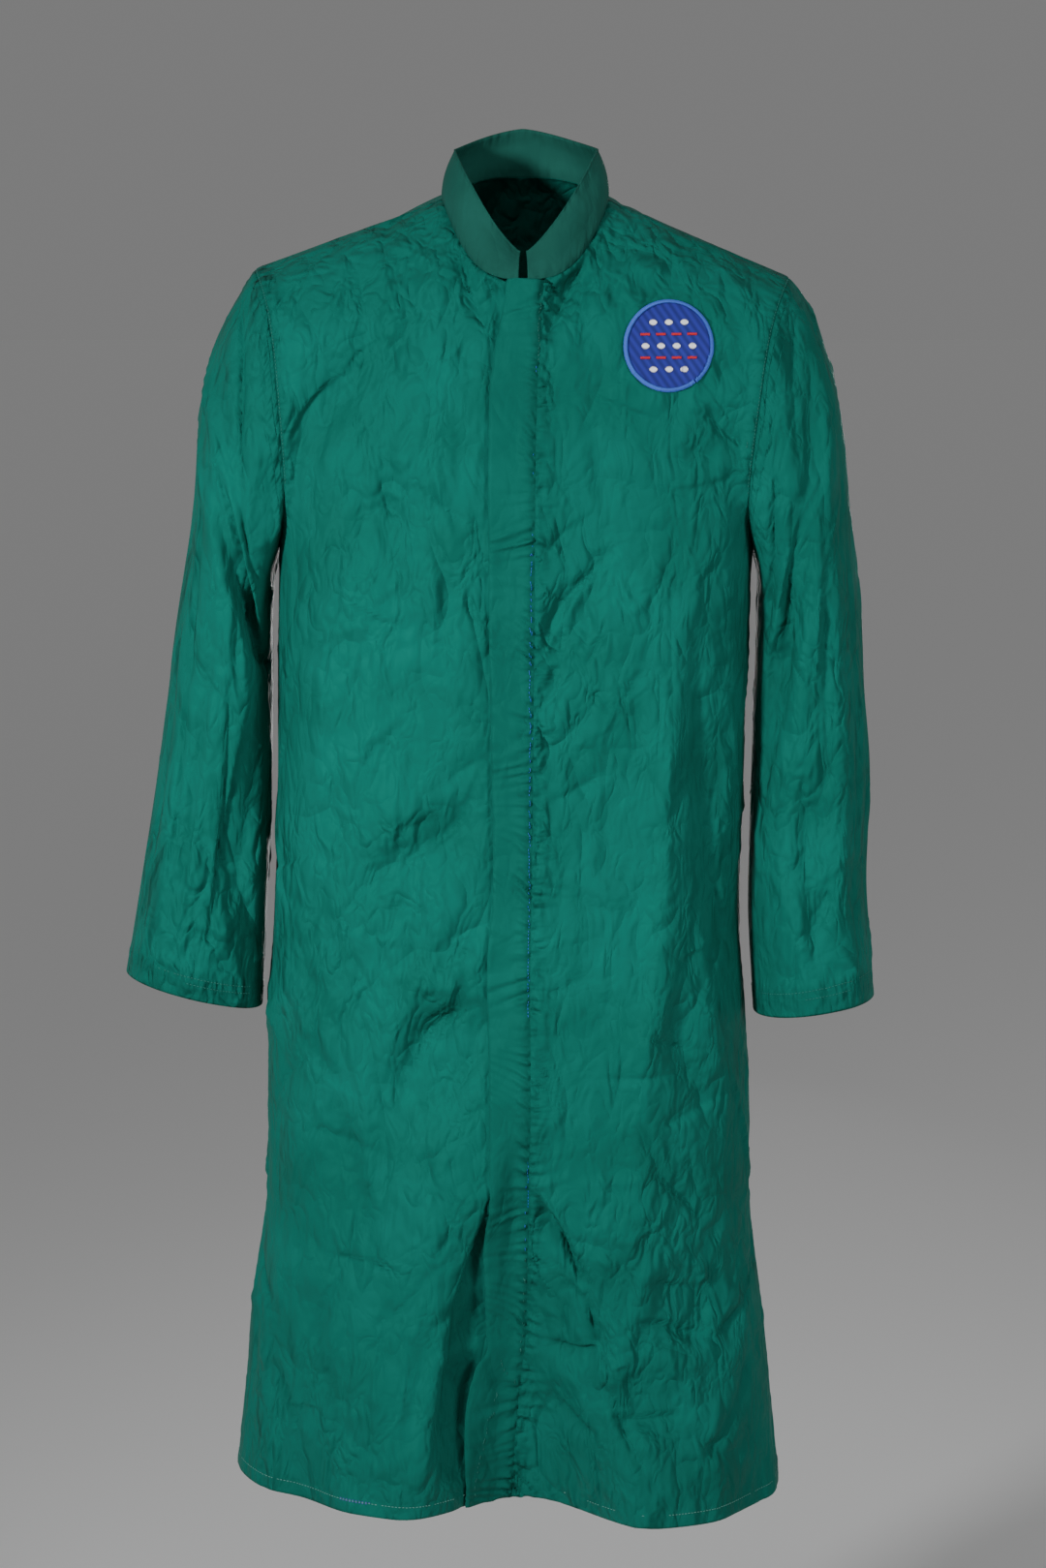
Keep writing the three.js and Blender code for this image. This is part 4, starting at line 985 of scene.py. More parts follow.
def thread(name, colour):
    """Twisted polyester thread: a soft gloss, with a slanted wave for its twist."""
    material, tree, shader = new_material(name)
    place = add(tree, "TexCoord").outputs["Object"]
    twist = add(tree, "TexWave", {"Vector": place, "Scale": 2 * math.pi / 10 / (TWIST_PITCH * MM),
                                  "Distortion": 1.0}, bands_direction="DIAGONAL")
    bump = add(tree, "Bump", {"Height": twist.outputs["Fac"], "Distance": 0.1 * MM, "Strength": 0.5})
    connect(tree, shader, {
        "Base Color": srgb(colour), "Normal": bump.outputs[0], "Roughness": 0.5,
        "Specular IOR Level": 0.3, "Sheen Weight": 0.05,
    })
    return material


def twill(name, colour, dark):
    """Embroidered twill ground: slanted ribs, with painted shade in the grooves between them, and hardly any
    gloss.
    """
    material, tree, shader = new_material(name)
    place = add(tree, "TexCoord").outputs["Object"]
    turned = add(tree, "Mapping", {"Vector": place, "Rotation": (0, math.radians(35), 0)}).outputs[0]
    ribs = add(tree, "TexWave", {"Vector": turned, "Scale": 2 * math.pi / 20 / (TWILL_PITCH * MM)},
               bands_direction="X").outputs["Fac"]
    # Painted shade: the darker colour lies in the grooves between the ribs.
    base = add(tree, "Mix", {"Factor": ribs, "A": srgb(dark), "B": srgb(colour)}, data_type="RGBA")
    bump = add(tree, "Bump", {"Height": ribs, "Distance": 0.2 * MM, "Strength": 0.6})
    connect(tree, shader, {
        "Base Color": base.outputs["Result"], "Normal": bump.outputs[0], "Roughness": 0.7,
        "Specular IOR Level": 0.15, "Sheen Weight": 0.04,
    })
    return material


# The panels' cloth is a thin nylon taffeta, the collar the same cloth doubled and a little greyer.
NYLON = nylon("nylon_taffeta", "0e6458", "0b594d", 0.54, 1.0, 1.0)
NYLON_COLLAR = nylon("nylon_taffeta_doubled", "20584e", "184a41", 0.6, 0.7, 0.2)
NYLON_PLACKET = nylon("nylon_taffeta_placket", "0d5e52", "0a5348", 0.56, 1.0, 0.5)
# Polyester threads: blue along the placket, green at the armholes and cuffs, grey-green at the hem
THREAD_BLUE = thread("thread_blue", "2f63b4")
THREAD_GREEN = thread("thread_green", "1d6a5f")
THREAD_HEM = thread("thread_grey_green", "5d8f86")
THREAD_REPAIR = thread("thread_violet_blue", "4a4aa0")
# The second, darker navy is painted shade for the twill's grooves.
PATCH_TWILL = twill("patch_twill_navy", "2b3290", "22286f")
PATCH_EDGE_THREAD = thread("patch_overlock_blue", "3d66c4")
PATCH_WHITE_THREAD = thread("patch_thread_white", "eceef0")
PATCH_RED_THREAD = thread("patch_thread_red", "c8202c")


# The fronts

def row_places(face):
    """The rows of the fine grid, as rows of the body's table."""
    neck_start = TOP_ROW - neck_rows(face)
    skirt, yoke, top = FRONT_GRID if face == FRONT else BACK_GRID
    return np.concatenate([
        np.linspace(0, SKIRT_ROWS, skirt, endpoint=False),
        np.linspace(SKIRT_ROWS, neck_start, yoke, endpoint=False),
        np.linspace(neck_start, TOP_ROW, top),
    ])


def spread(count, start_dense, end_dense):
    """Shares from 0 to 1, closer together at the start and end: u - a sin(2 pi u) / (2 pi), one half each."""
    u = np.linspace(0, 1, count + 1)
    dense = mix(start_dense, end_dense, u)
    return u - dense * np.sin(2 * math.pi * u) / (2 * math.pi)


def side_seam(side, face):
    """The side seam: its points, the way out of the cloth, and how far it sinks."""
    line = skirt_controls(side, face, np.linspace(0, SKIRT_ROWS, 600))[3]
    outs = np.broadcast_to(np.array([float(side["sign"]), 0, 0]), line.shape)
    return line, outs, np.full(len(line), SEAM_SINK)


def armhole_seam(side, face):
    """The armhole seam from the underarm to the shoulder tip. It sinks in its upper half."""
    angle = np.linspace(math.pi, 0, 420)
    outs, share = armhole_out(side, face, angle)
    return armhole(side, face, angle), outs, SEAM_SINK * share


def shoulder_seam(side):
    """The shoulder seam from the neck to the tip."""
    share = np.linspace(0, 1, 200)[:, None]
    line = mix(neck(side, FRONT, math.pi / 2), armhole(side, FRONT, 0.0), share)
    outs = unit(mix(neck_out(side, FRONT, math.pi / 2), armhole_out(side, FRONT, 0.0)[0], share))
    return line, outs, np.full(len(line), SEAM_SINK)


def neck_seam(side, face):
    """The neck seam from the centre to the shoulder."""
    start = LEFT_NECK_START if face == FRONT and side is LEFT else 0.0
    angle = np.linspace(start, math.pi / 2, 160)
    return neck(side, face, angle), neck_out(side, face, angle), np.full(len(angle), SEAM_SINK)


def seams_round(side, face):
    """The seams round half a panel, each with its puckers."""
    return [
        (side_seam(side, face), SIDE_PUCKER),
        (armhole_seam(side, face), ARMHOLE_PUCKER),
        (shoulder_seam(side), SHOULDER_PUCKER),
        (neck_seam(side, face), FRONT_NECK_PUCKER if face == FRONT else BACK_NECK_PUCKER),
    ]


def fine_depth(face, points, q):
    """The fine creases of the front or back. The back's are the front's, turned round and moved down."""
    x, z = points[..., 0], points[..., 2]
    if face == FRONT:
        hand = HAND_DEPTH * crease_depth(FRONT_CREASES, x, z)
    else:
        hand = BACK_SHARE * HAND_DEPTH * crease_depth(FRONT_CREASES, -x + BACK_SHIFT_X, z + BACK_SHIFT_Z)
    seed = 1 if face == FRONT else 2
    small = crease_depth(crumple(seed, CRUMPLES_BODY, (-330, -1120), (330, 0), UPRIGHT_BODY), q, z)
    return hand + small * mix(CRUMPLE_AT_HEM, CRUMPLE_AT_SHOULDER, smooth(z, -1000, -250))


def finish_panel(side, face, points, q, lines, extra):
    """Adds creases, puckers and sunk seams to a half panel's points. Returns points, normals and fields."""
    turn = -face * side["sign"]
    normals = grid_normals(points, turn)
    near = np.full(q.shape, 60.0)
    along = np.zeros(q.shape)
    depth = extra.copy()
    edge_fade = np.ones(q.shape)
    sunk = np.zeros(points.shape)
    for (line, outs, sink), waves in lines:
        distance, place, which = near_line(points, line)
        closer = distance < near
        near = np.where(closer, distance, near)
        along = np.where(closer, place, along)
        depth += pucker(place, distance, *waves) * smooth(distance, 0, PUCKER_CLEAR)
        sunk += outs[which] * (sink[which] * np.exp(-(distance / SEAM_REACH) ** 2))[..., None]
        edge_fade *= smooth(distance, 0, CREASE_CLEAR)
    depth += fine_depth(face, points, q) * edge_fade
    points = points - normals * depth[..., None] - sunk
    return points, grid_normals(points, turn), {"stitch_near": near, "stitch_along": along}


def lap_rise(q, rows):
    """How far the left front lies out beside the placket."""
    stitch = table(PLACKET, 2, rows.controls[0][:, 2])[:, None]
    neck_start = TOP_ROW - FRONT_NECK_ROWS
    rise = smooth(q, stitch + LAP_REACH, stitch) * smooth(rows.v[:, None], neck_start, neck_start - 2)
    return (WALL + LAYER_GAP) * rise


def front_places(side, rows, columns):
    """The distances q of a front's grid, from its centre edge to its side edge."""
    z = rows.controls[0][:, 2]
    in_neck = rows.v > TOP_ROW - FRONT_NECK_ROWS
    free = table(PLACKET, 1, z)
    stitch = table(PLACKET, 2, z)
    edge = stitch if side is LEFT else -mix(stitch, free, UNDERLAP_SHORT)
    neck_start = TOP_ROW - FRONT_NECK_ROWS
    neck_x = side["neck"] * math.sin(LEFT_NECK_START) if side is LEFT else 0.0
    edge = mix(edge, neck_x, smooth(rows.v, neck_start - 0.5, neck_start))
    start = np.where(in_neck, rows.start, edge)
    share = spread(columns, 0.75, 0.55)
    return side["sign"] * mix(start[:, None], rows.end[:, None], share[None])


def placket_groove(points, q):
    """The right front dips along the placket's free edge: exp(-s^2), with s over the half-width."""
    beside = (q - table(PLACKET, 1, points[..., 2])) / GROOVE_HALF
    return GROOVE_DEEP * np.exp(-beside**2)


def front_cloth(name, side):
    """One front: the base cloth, its fine creases, and the shell."""
    rows = Rows(side, FRONT, row_places(FRONT))
    q = front_places(side, rows, FRONT_COLUMNS)
    below = rows.v <= TOP_ROW - FRONT_NECK_ROWS
    points = np.concatenate([across_centre(FRONT, rows.v[below], q[below]), rows.at(q)[~below]])
    points = even_out(points, rows.v, FRONT)
    lines = seams_round(side, FRONT)
    if side is LEFT:
        points = points + grid_normals(points, 1) * lap_rise(q, rows)[..., None]
        edge = dense(points[below, 0])
        outs = np.broadcast_to(np.array([0.0, -1.0, 0.0]), edge.shape)
        lines.append(((edge, outs, np.full(len(edge), SEAM_SINK)), PLACKET_SEAM_PUCKER))
        extra = hem_depth(points)
    else:
        extra = hem_depth(points) + placket_groove(points, q)
    points, normals, fields = finish_panel(side, FRONT, points, q, lines, extra)
    return panel_mesh(name, [(points, normals, fields, q)], side["sign"] < 0)


def dense(line, step=1.0):
    """A line of points made about one step apart."""
    run = run_along(line)
    at = np.arange(0, run[-1], step)
    return np.stack([np.interp(at, run, line[:, i]) for i in range(3)], axis=1)


def hem_depth(points):
    """The hem's turned-up edge is a little thicker than the cloth above it, with small puckers between."""
    up = points[..., 2] - points[0:1, :, 2]
    turned = -HEM_THICKER * smooth(up, HEM_DEEP + 1, HEM_DEEP - 1)
    return turned + pucker(points[..., 0], np.abs(up - HEM_DEEP), *HEM_PUCKER)


def panel_mesh(name, halves, flip):
    """One cloth shell from one or two half grids. Two halves share their centre column below the neck."""
    points = []
    normals = []
    uv = []
    quads = []
    fields = {"stitch_near": [], "stitch_along": []}
    count = 0
    centre = None
    for number, (p, n, f, q) in enumerate(halves):
        index = count + np.arange(p[..., 0].size).reshape(p.shape[:2])
        if number == 0:
            centre = index[:, 0]
        else:
            joined = row_places(BACK) <= TOP_ROW - BACK_NECK_ROWS
            index[joined, 0] = centre[joined]
        own = quads_of(index)
        quads.append(own if (number == 0) != flip else own[:, ::-1])
        points.append(p.reshape(-1, 3))
        normals.append(n.reshape(-1, 3))
        uv.append(np.stack([q.ravel(), p[..., 2].ravel()], axis=1))
        for key in fields:
            fields[key].append(f[key].ravel())
        count += p[..., 0].size
    quads = np.concatenate(quads)
    used = np.zeros(count, bool)
    used[quads] = True
    renumber = np.cumsum(used) - 1
    joined_fields = {key: np.concatenate(value)[used] for key, value in fields.items()}
    return cloth_shell(name, np.concatenate(points)[used], np.concatenate(normals)[used], renumber[quads],
                       CLOTH_THICK, NYLON, np.concatenate(uv)[used], joined_fields)


def back_cloth(name):
    """The back: two half grids joined down the centre."""
    halves = []
    for side in (LEFT, RIGHT):
        rows = Rows(side, BACK, row_places(BACK))
        share = np.linspace(0, 1, BACK_COLUMNS + 1)
        q = side["sign"] * mix(rows.start[:, None], rows.end[:, None], share[None])
        points = even_out(rows.at(q), rows.v, BACK)
        lines = seams_round(side, BACK)
        halves.append((*finish_panel(side, BACK, points, q, lines, hem_depth(points)), q))
    joined = row_places(BACK) <= TOP_ROW - BACK_NECK_ROWS
    for part in (0, 1):
        shared = halves[0][part][joined, 0] + halves[1][part][joined, 0]
        shared = unit(shared) if part == 1 else shared / 2
        halves[0][part][joined, 0] = shared
        halves[1][part][joined, 0] = shared
    return panel_mesh(name, halves, True)


# The sleeves

def sleeve_rings(side, rings, t, angle):
    """Points round a sleeve at shares t of its length, the middles that they lie round, and the cosines.
    Angle 0 is the outer edge, pi / 2 the front and pi the underarm seam."""
    _, out_x, out_z, in_x, in_z, mid_y, before, behind = [table(rings, i, t) for i in range(8)]
    c, s = squircle(angle, mix(ARMHOLE_ROUNDNESS, CUFF_ROUNDNESS, smooth(t, 0, 0.5)))
    scoop = side["scoop"] * (1 - c**4) * smooth(t, 0.25, 0)
    x = side["sign"] * ((out_x + in_x) / 2 + (out_x - in_x) / 2 * c - scoop)
    y = mid_y - np.where(s > 0, before, behind) * s
    z = (out_z + in_z) / 2 + (out_z - in_z) / 2 * c
    return xyz(x, y, z), xyz(side["sign"] * (out_x + in_x) / 2, mid_y, z), c


def round_arm(degrees):
    """The distance round the sleeve from its outer edge, positive in front."""
    return math.radians((degrees + 180) % 360 - 180) * ARM_RADIUS


def sleeve_creases(creases, arc, down):
    """Depth of a sleeve's listed creases, repeated shallower behind the arm."""
    behind = [(360 - a, t0, 360 - b, t1, -bow, w, BACK_SHARE * d, -k if k < 2 else k)
              for a, t0, b, t1, bow, w, d, k in creases]
    total = 0.0
    for rows in (creases, behind):
        placed = [(round_arm(a), t0 * ARM_LENGTH, round_arm(b), t1 * ARM_LENGTH, bow, w, d, k)
                  for a, t0, b, t1, bow, w, d, k in rows]
        total = total + HAND_DEPTH * crease_depth(placed, arc, down)
    return total


def sleeve_cloth(name, side, rings, folds, creases, seed):
    """One sleeve, cut open along the underarm seam: rings from the armhole to the cuff."""
    t = np.linspace(0, 1, SLEEVE_GRID[0])[:, None] * np.ones(SLEEVE_GRID)
    degrees = np.linspace(-180, 180, SLEEVE_GRID[1])
    angle = np.radians(degrees)[None] * np.ones(SLEEVE_GRID)
    points, middle, c = sleeve_rings(side, rings, t, angle)
    depth = sleeve_folds(folds, np.degrees(angle) % 360, t) * smooth(t, 0, 0.12)
    inner = 1 - 0.9 * smooth(c, -0.75, -0.95)
    points = points + unit(middle - points) * (depth * inner)[..., None]
    normals = grid_normals(points, side["sign"])

    arc = np.radians(degrees)[None] * ARM_RADIUS * np.ones(SLEEVE_GRID)
    down = t * ARM_LENGTH
    hand = sleeve_creases(creases, arc, down)
    small = crumple(seed, CRUMPLES_SLEEVE, (-210, 0), (210, ARM_LENGTH), UPRIGHT_SLEEVE)
    seam_gap = (180 - np.abs(degrees))[None] * math.radians(1) * ARM_RADIUS * np.ones(SLEEVE_GRID)
    ring_near, ring_along, ring_place = near_line(points, points[0])
    front_outs, hold = armhole_out(side, FRONT, np.radians(np.abs(degrees)))
    ring_outs = front_outs * xyz(1.0, np.where(degrees >= 0, 1.0, -1.0), 1.0)
    sink = SEAM_SINK * hold[ring_place] * np.exp(-(ring_near / SEAM_REACH) ** 2)
    cuff_near = np.linalg.norm(points - points[-1][None], axis=2)
    cuff_row = np.abs(cuff_near - CUFF_ROWS[1])
    fine = hand + crease_depth(small, arc, down)
    fine = fine * smooth(seam_gap, 0, 14) * smooth(ring_near, 0, CREASE_CLEAR) * smooth(cuff_near, 2, 30)
    fine += pucker(ring_along, ring_near, *SLEEVE_HEAD_PUCKER) * smooth(ring_near, 0, PUCKER_CLEAR)
    fine += pucker(arc, cuff_row, *CUFF_PUCKER) * smooth(seam_gap, 0, 8)
    fine -= CUFF_THICKER * smooth(cuff_near, CUFF_ROWS[1] + 2, CUFF_ROWS[1])
    points = points - normals * fine[..., None] - ring_outs[ring_place] * sink[..., None]
    normals = grid_normals(points, side["sign"])
    near = np.minimum(ring_near, np.minimum(np.abs(cuff_near - CUFF_ROWS[0]), cuff_row))
    along = np.where(near == ring_near, ring_along, arc)
    return grid_shell(name, points, normals, CLOTH_THICK, NYLON, (arc, -down), near, along,
                      flip=side["sign"] < 0)


def sleeve_folds(folds, degrees, t):
    """Depth of a sleeve's main folds, in the same way as the panels'."""
    total = np.zeros(degrees.shape)
    arc = np.radians(degrees) * ARM_RADIUS
    for a0, t0, a1, t1, a2, t2, width, depth in folds:
        a0, a1, a2 = (math.radians(a) * ARM_RADIUS for a in (a0, a1, a2))
        path = quadratic(a0, t0 * ARM_LENGTH, a1, t1 * ARM_LENGTH, a2, t2 * ARM_LENGTH)
        near, along = nearest_on_path(arc, t * ARM_LENGTH, path)
        share = np.minimum(np.sqrt(near) / (2 * width), 1)
        total += depth * np.cos(share * math.pi / 2) ** 2 * np.sin(math.pi * np.clip(along, 0.1, 0.9))
    return total


# The collar

def collar_angles(count):
    """Side, face and angles of the collar's quarters, from the right front round to the left front."""
    half_gap = math.asin(COLLAR_HALF_GAP / RIGHT["neck"])
    stops = [
        (RIGHT, FRONT, half_gap, math.pi / 2, 3),
        (RIGHT, BACK, math.pi / 2, 0.0, 2),
        (LEFT, BACK, 0.0, math.pi / 2, 2),
        (LEFT, FRONT, math.pi / 2, half_gap, 3),
    ]
    return [(side, face, np.linspace(a0, a1, count * weight // 10, endpoint=number == 3))
            for number, (side, face, a0, a1, weight) in enumerate(stops)]


def collar_outs(count):
    """The way out of the cloth at the neck seam, all round."""
    return np.concatenate([neck_out(*part) for part in collar_angles(count)])


def collar_line(count, row):
    """Points round the collar from the right front to the left front, at a share row of its height."""
    parts = []
    for side, face, angle in collar_angles(count):
        base = neck(side, face, angle)
        end_y, end_z = COLLAR_FRONT_TOP if face == FRONT else COLLAR_BACK_TOP
        top_x = side["sign"] * side["collar_top"] * np.sin(angle)
        top = xyz(top_x, end_y * np.cos(angle), mix(end_z, COLLAR_SIDE_TOP_Z, np.sin(angle) ** 1.4))
        radial = unit(xyz(side["sign"] * np.sin(angle), face * np.cos(angle), 0.25))
        parts.append(mix(base, top, row) + radial * COLLAR_BULGE * math.sin(math.pi * row))
    return np.concatenate(parts)


def collar_cloth(name):
    """The collar: doubled cloth with a soft bulge, rounded edges and a few slack ripples."""
    rows, columns = COLLAR_GRID
    points = np.stack([collar_line(columns, row) for row in spread(rows, 0.6, 0.8)])
    normals = grid_normals(points, 1)
    run = run_along(points[0])
    along = np.broadcast_to(run[None], points.shape[:2])
    height = np.linalg.norm(points - points[0][None], axis=2)
    full = height[-1][None]
    near = np.minimum(height, full - height + COLLAR_EDGE_ROW)
    ends = np.minimum(run, run[-1] - run)[None]
    depth = pucker(along, height, *COLLAR_PUCKER) * smooth(height, 0, PUCKER_CLEAR)
    depth += 0.45 * np.sin(along / 19.0 + height / 14.0) * smooth(ends, 0, 30)
    depth += 0.7 * np.exp(-((full - height) / 1.2) ** 2) + 0.7 * np.exp(-(ends / 1.4) ** 2)
    outs = collar_outs(columns)[None] * (SEAM_SINK * np.exp(-(height / SEAM_REACH) ** 2))[..., None]
    points = points - normals * depth[..., None] - outs
    return grid_shell(name, points, grid_normals(points, 1), COLLAR_THICK, NYLON_COLLAR, (along, height),
                      near + 1.5, along)


# The placket

def placket_cloth(name):
    """The placket lies on the front, a folded strip with a soft free edge and puckers along its stitches."""
    rows, columns = PLACKET_GRID
    neck_start = TOP_ROW - FRONT_NECK_ROWS
    v = np.linspace(0, neck_start, rows)
    z = Rows(RIGHT, FRONT, v).controls[0][:, 2]
    free = table(PLACKET, 1, z)
    stitch = table(PLACKET, 2, z)
    share = spread(columns, 0.7, 0.7)
    q = mix(free[:, None], stitch[:, None] + PLACKET_TUCK, share[None])
    points = across_centre(FRONT, v, q)
    normals = grid_normals(points, 1)
    seam_fade = smooth(v, neck_start, neck_start - 2)[:, None]
    to_seam = stitch[:, None] - q
    rise = (WALL + LAYER_GAP) * mix(seam_fade, 1, smooth(to_seam, 0, 7))
    points = points + normals * rise[..., None]
    points[..., 2] += PLACKET_TOP_RISE * smooth(z, NECK_FRONT[1] - 12, NECK_FRONT[1] - 2)[:, None]
    up = np.broadcast_to(z[:, None], q.shape)
    to_free = q - free[:, None]
    depth = fine_depth(FRONT, points, q) * 0.5 * smooth(to_seam, 0, CREASE_CLEAR)
    depth += pucker(up, to_seam, *PLACKET_PUCKER) * smooth(to_seam, 0, 2)
    depth += pucker(up + 40, to_free, *PLACKET_FREE_PUCKER)
    depth += FREE_EDGE_TURN * np.exp(-(to_free / FREE_EDGE_TURN) ** 2)
    depth += 0.7 * np.exp(-((up - PRESSED_LINE_Z) / 2.5) ** 2)
    depth += 1.2 * np.exp(-((up - DIMPLE_Z) ** 2 + (q - DIMPLE_Q) ** 2) / 60)
    points = points - normals * depth[..., None]
    sunk = SEAM_SINK * np.exp(-(np.maximum(to_seam, 0) / SEAM_REACH) ** 2) + 0.9 * smooth(to_seam, 0, -1.2)
    points[..., 1] += sunk
    return grid_shell(name, points, grid_normals(points, 1), PLACKET_THICK, NYLON_PLACKET, (q, up),
                      np.abs(to_seam), up)


# Stitches

def thread_shape():
    """One stitch along X from -1 to 1: three rings of five points and two ends."""
    rings = [(-0.62, 0.8), (0.0, 1.0), (0.62, 0.8)]
    points = [(-1.0, 0.0, -0.4)]
    for x, size in rings:
        for k in range(5):
            angle = 2 * math.pi * k / 5 + 0.3
            points.append((x, size * math.cos(angle), size * math.sin(angle)))
    points.append((1.0, 0.0, -0.4))
    faces = []
    for k in range(5):
        after = (k + 1) % 5
        faces.append((0, 1 + after, 1 + k))
        for ring in (0, 1):
            a = 1 + ring * 5
            faces.append((a + k, a + after, a + 5 + after, a + 5 + k))
        faces.append((11 + k, 11 + after, 16))
    return np.array(points), faces


def surface_of(thing):
    """A tree that finds the nearest place on an object's mesh."""
    mesh = thing.data
    points = np.empty(len(mesh.vertices) * 3)
    mesh.vertices.foreach_get("co", points)
    return BVHTree.FromPolygons(points.reshape(-1, 3).tolist(), [list(p.vertices) for p in mesh.polygons])


def stitch_rows(name, runs, tree, outwards, material):
    """Rows of stitches laid on a piece, one row along each line of points."""
    centres = []
    alongs = []
    for line in runs:
        at = dense(line, STITCH_PITCH)
        centres.append((at[1:] + at[:-1]) / 2)
        alongs.append(unit(at[1:] - at[:-1]))
    return lay_threads(name, np.concatenate(centres), np.concatenate(alongs), tree, outwards, material,
                       *STITCH)


def lay_threads(name, centres, alongs, tree, outwards, material, long, wide, high):
    """Puts one thread at each centre, along its direction, on the nearest place of the cloth."""
    shape, faces = thread_shape()
    placed = []
    normals = []
    for centre in centres:
        location, normal, _, _ = tree.find_nearest(Vector(centre * MM))
        placed.append(np.array(location) / MM)
        normals.append(np.array(normal))
    placed = np.array(placed)
    normals = np.array(normals)
    facing = np.sum(normals * outwards(placed), axis=1)
    normals = normals * np.where(facing < 0, -1, 1)[:, None]
    alongs = unit(alongs - normals * np.sum(alongs * normals, axis=1)[:, None])
    across = np.cross(normals, alongs)
    half = np.broadcast_to(np.asarray(long, float) / 2, len(placed))[:, None, None]
    points = placed[:, None] + normals[:, None] * (high * 0.6)
    points = points + alongs[:, None] * shape[None, :, :1] * half
    points = points + across[:, None] * shape[None, :, 1:2] * (wide / 2)
    points = points + normals[:, None] * shape[None, :, 2:] * (high / 2)
    every = [tuple(i + number * len(shape) for i in face) for number in range(len(placed)) for face in faces]
    return make_mesh(name, points.reshape(-1, 3), every, material)


def from_middle(points):
    """Directions away from the body's middle line."""
    return unit(points * np.array([1.0, 1.0, 0.2]) + np.array([0.0, 0.0, 20.0]))


def forwards(points):
    """Directions to the front."""
    return np.broadcast_to(np.array([0.0, -1.0, 0.1]), points.shape)


def from_sleeve(side, rings):
    """Directions away from a sleeve's own middle line."""
    def away(points):
        rows = np.asarray(rings, float)
        middle = xyz(side["sign"] * (rows[:, 1] + rows[:, 3]) / 2, rows[:, 5], (rows[:, 2] + rows[:, 4]) / 2)
        line = dense(middle, 4.0)
        gap = ((points[:, None] - line[None]) ** 2).sum(-1).argmin(1)
        return unit(points - line[gap])
    return away


def armhole_rows(side, face):
    """Two rows of stitches on the body side of the armhole seam, the second wider apart at the top."""
    angle = np.linspace(math.pi * 0.97, 0.0, 300)
    seam = armhole(side, face, angle)
    top = smooth(angle, 2.0, 0.4)
    inwards = unit(xyz(np.full(len(angle), -float(side["sign"])), 0.0, 0.25 * (1 - top)))
    return [seam + inwards * (offset * mix(0.85, 1.15, top))[:, None] for offset in ARMHOLE_STITCH_ROWS]


def hem_row(side, face):
    """The row of stitches that holds the hem's turning."""
    v = HEM_DEEP / (UNDERARM_Z - HEM_Z) * SKIRT_ROWS
    rows = Rows(side, face, np.array([0.0, v]))
    return rows.at(side["sign"] * np.linspace(0, 1, HEM_POINTS) * rows.end[:, None])[1]


def cuff_rows(side, rings):
    """Two rows of stitches round a cuff."""
    angle = np.radians(np.linspace(-178, 178, 300))
    shares = [np.full(300, 1 - height / ARM_LENGTH) for height in CUFF_ROWS]
    return [sleeve_rings(side, rings, t, angle)[0] for t in shares]


def placket_row(offset, low, high):
    """The placket's stitched edge between two heights, moved to its free side."""
    z = np.arange(low, high, 1.0)
    stitch = table(PLACKET, 2, z) - offset
    depth = table(CHEST, 1, z)
    return xyz(stitch, np.where(z > UNDERARM_Z, -depth, -120.0), z)


def repair_rows():
    """Three short rows close together, where the hem was mended."""
    line = hem_row(RIGHT, FRONT)
    line = line[(line[:, 0] > MENDED_FROM) & (line[:, 0] < MENDED_TO)]
    return [line + xyz(0.0, 0.0, height) for height in MENDED_ROWS]


def neck_tack_row():
    """A short row across the top of the placket."""
    start, end, y, z = NECK_TACK
    return xyz(np.linspace(start, end, 9), y, z)


# The patch

def patch_point(radius, angle):
    """A point of the patch in the picture's plane: radius round its centre."""
    x = PATCH_X + radius * np.cos(angle)
    z = PATCH_Z + radius * np.sin(angle)
    return xyz(x, -100.0, z)


def onto_cloth(tree, points, lift):
    """The points moved along Y onto the cloth and lifted off it, with the directions out of the cloth."""
    placed = []
    normals = []
    for x, _, z in points.reshape(-1, 3):
        location, normal, _, _ = tree.ray_cast(Vector((x * MM, -0.2, z * MM)), Vector((0, 1, 0)))
        placed.append(np.array(location) / MM)
        normals.append(np.array(normal))
    placed = np.array(placed).reshape(points.shape)
    normals = np.array(normals).reshape(points.shape)
    normals = normals * np.where(normals[..., 1:2] > 0, -1, 1)
    return placed + normals * lift, normals


def patch_disc(name, cloth_tree):
    """The patch's twill ground, which lies on the front with a soft rounded edge."""
    radius = np.linspace(0.0, 1.0, PATCH_RINGS + 1)[1:] ** 0.9 * (PATCH_RADIUS - 0.8)
    angle = np.linspace(0, 2 * math.pi, PATCH_STEPS, endpoint=False)
    grid = patch_point(radius[:, None], angle[None])
    middle, middle_out = onto_cloth(cloth_tree, patch_point(np.zeros(1), np.zeros(1)), PATCH_LIFT)
    lift = PATCH_LIFT - 0.9 * smooth(radius, PATCH_RADIUS - 3, PATCH_RADIUS)
    placed, outs = onto_cloth(cloth_tree, grid, lift[:, None, None])
    points = np.concatenate([middle, placed.reshape(-1, 3)])
    normals = np.concatenate([middle_out, outs.reshape(-1, 3)])
    index = 1 + np.arange(placed[..., 0].size).reshape(placed.shape[:2])
    index = np.concatenate([index, index[:, :1]], axis=1)
    quads = quads_of(index)[:, ::-1]
    count = len(points)
    a = index[-1, :-1]
    b = index[-1, 1:]
    fan = np.stack([np.zeros(PATCH_STEPS, int), index[0, :-1], index[0, 1:]], axis=1)
    rim = np.stack([a, b, b + count, a + count], axis=1)
    outer = fan.tolist() + quads.tolist()
    inner = [[i + count for i in reversed(face)] for face in outer]
    both = np.concatenate([points, points - normals * PATCH_THICK])
    return make_mesh(name, both, outer + inner + rim.tolist(), PATCH_TWILL)


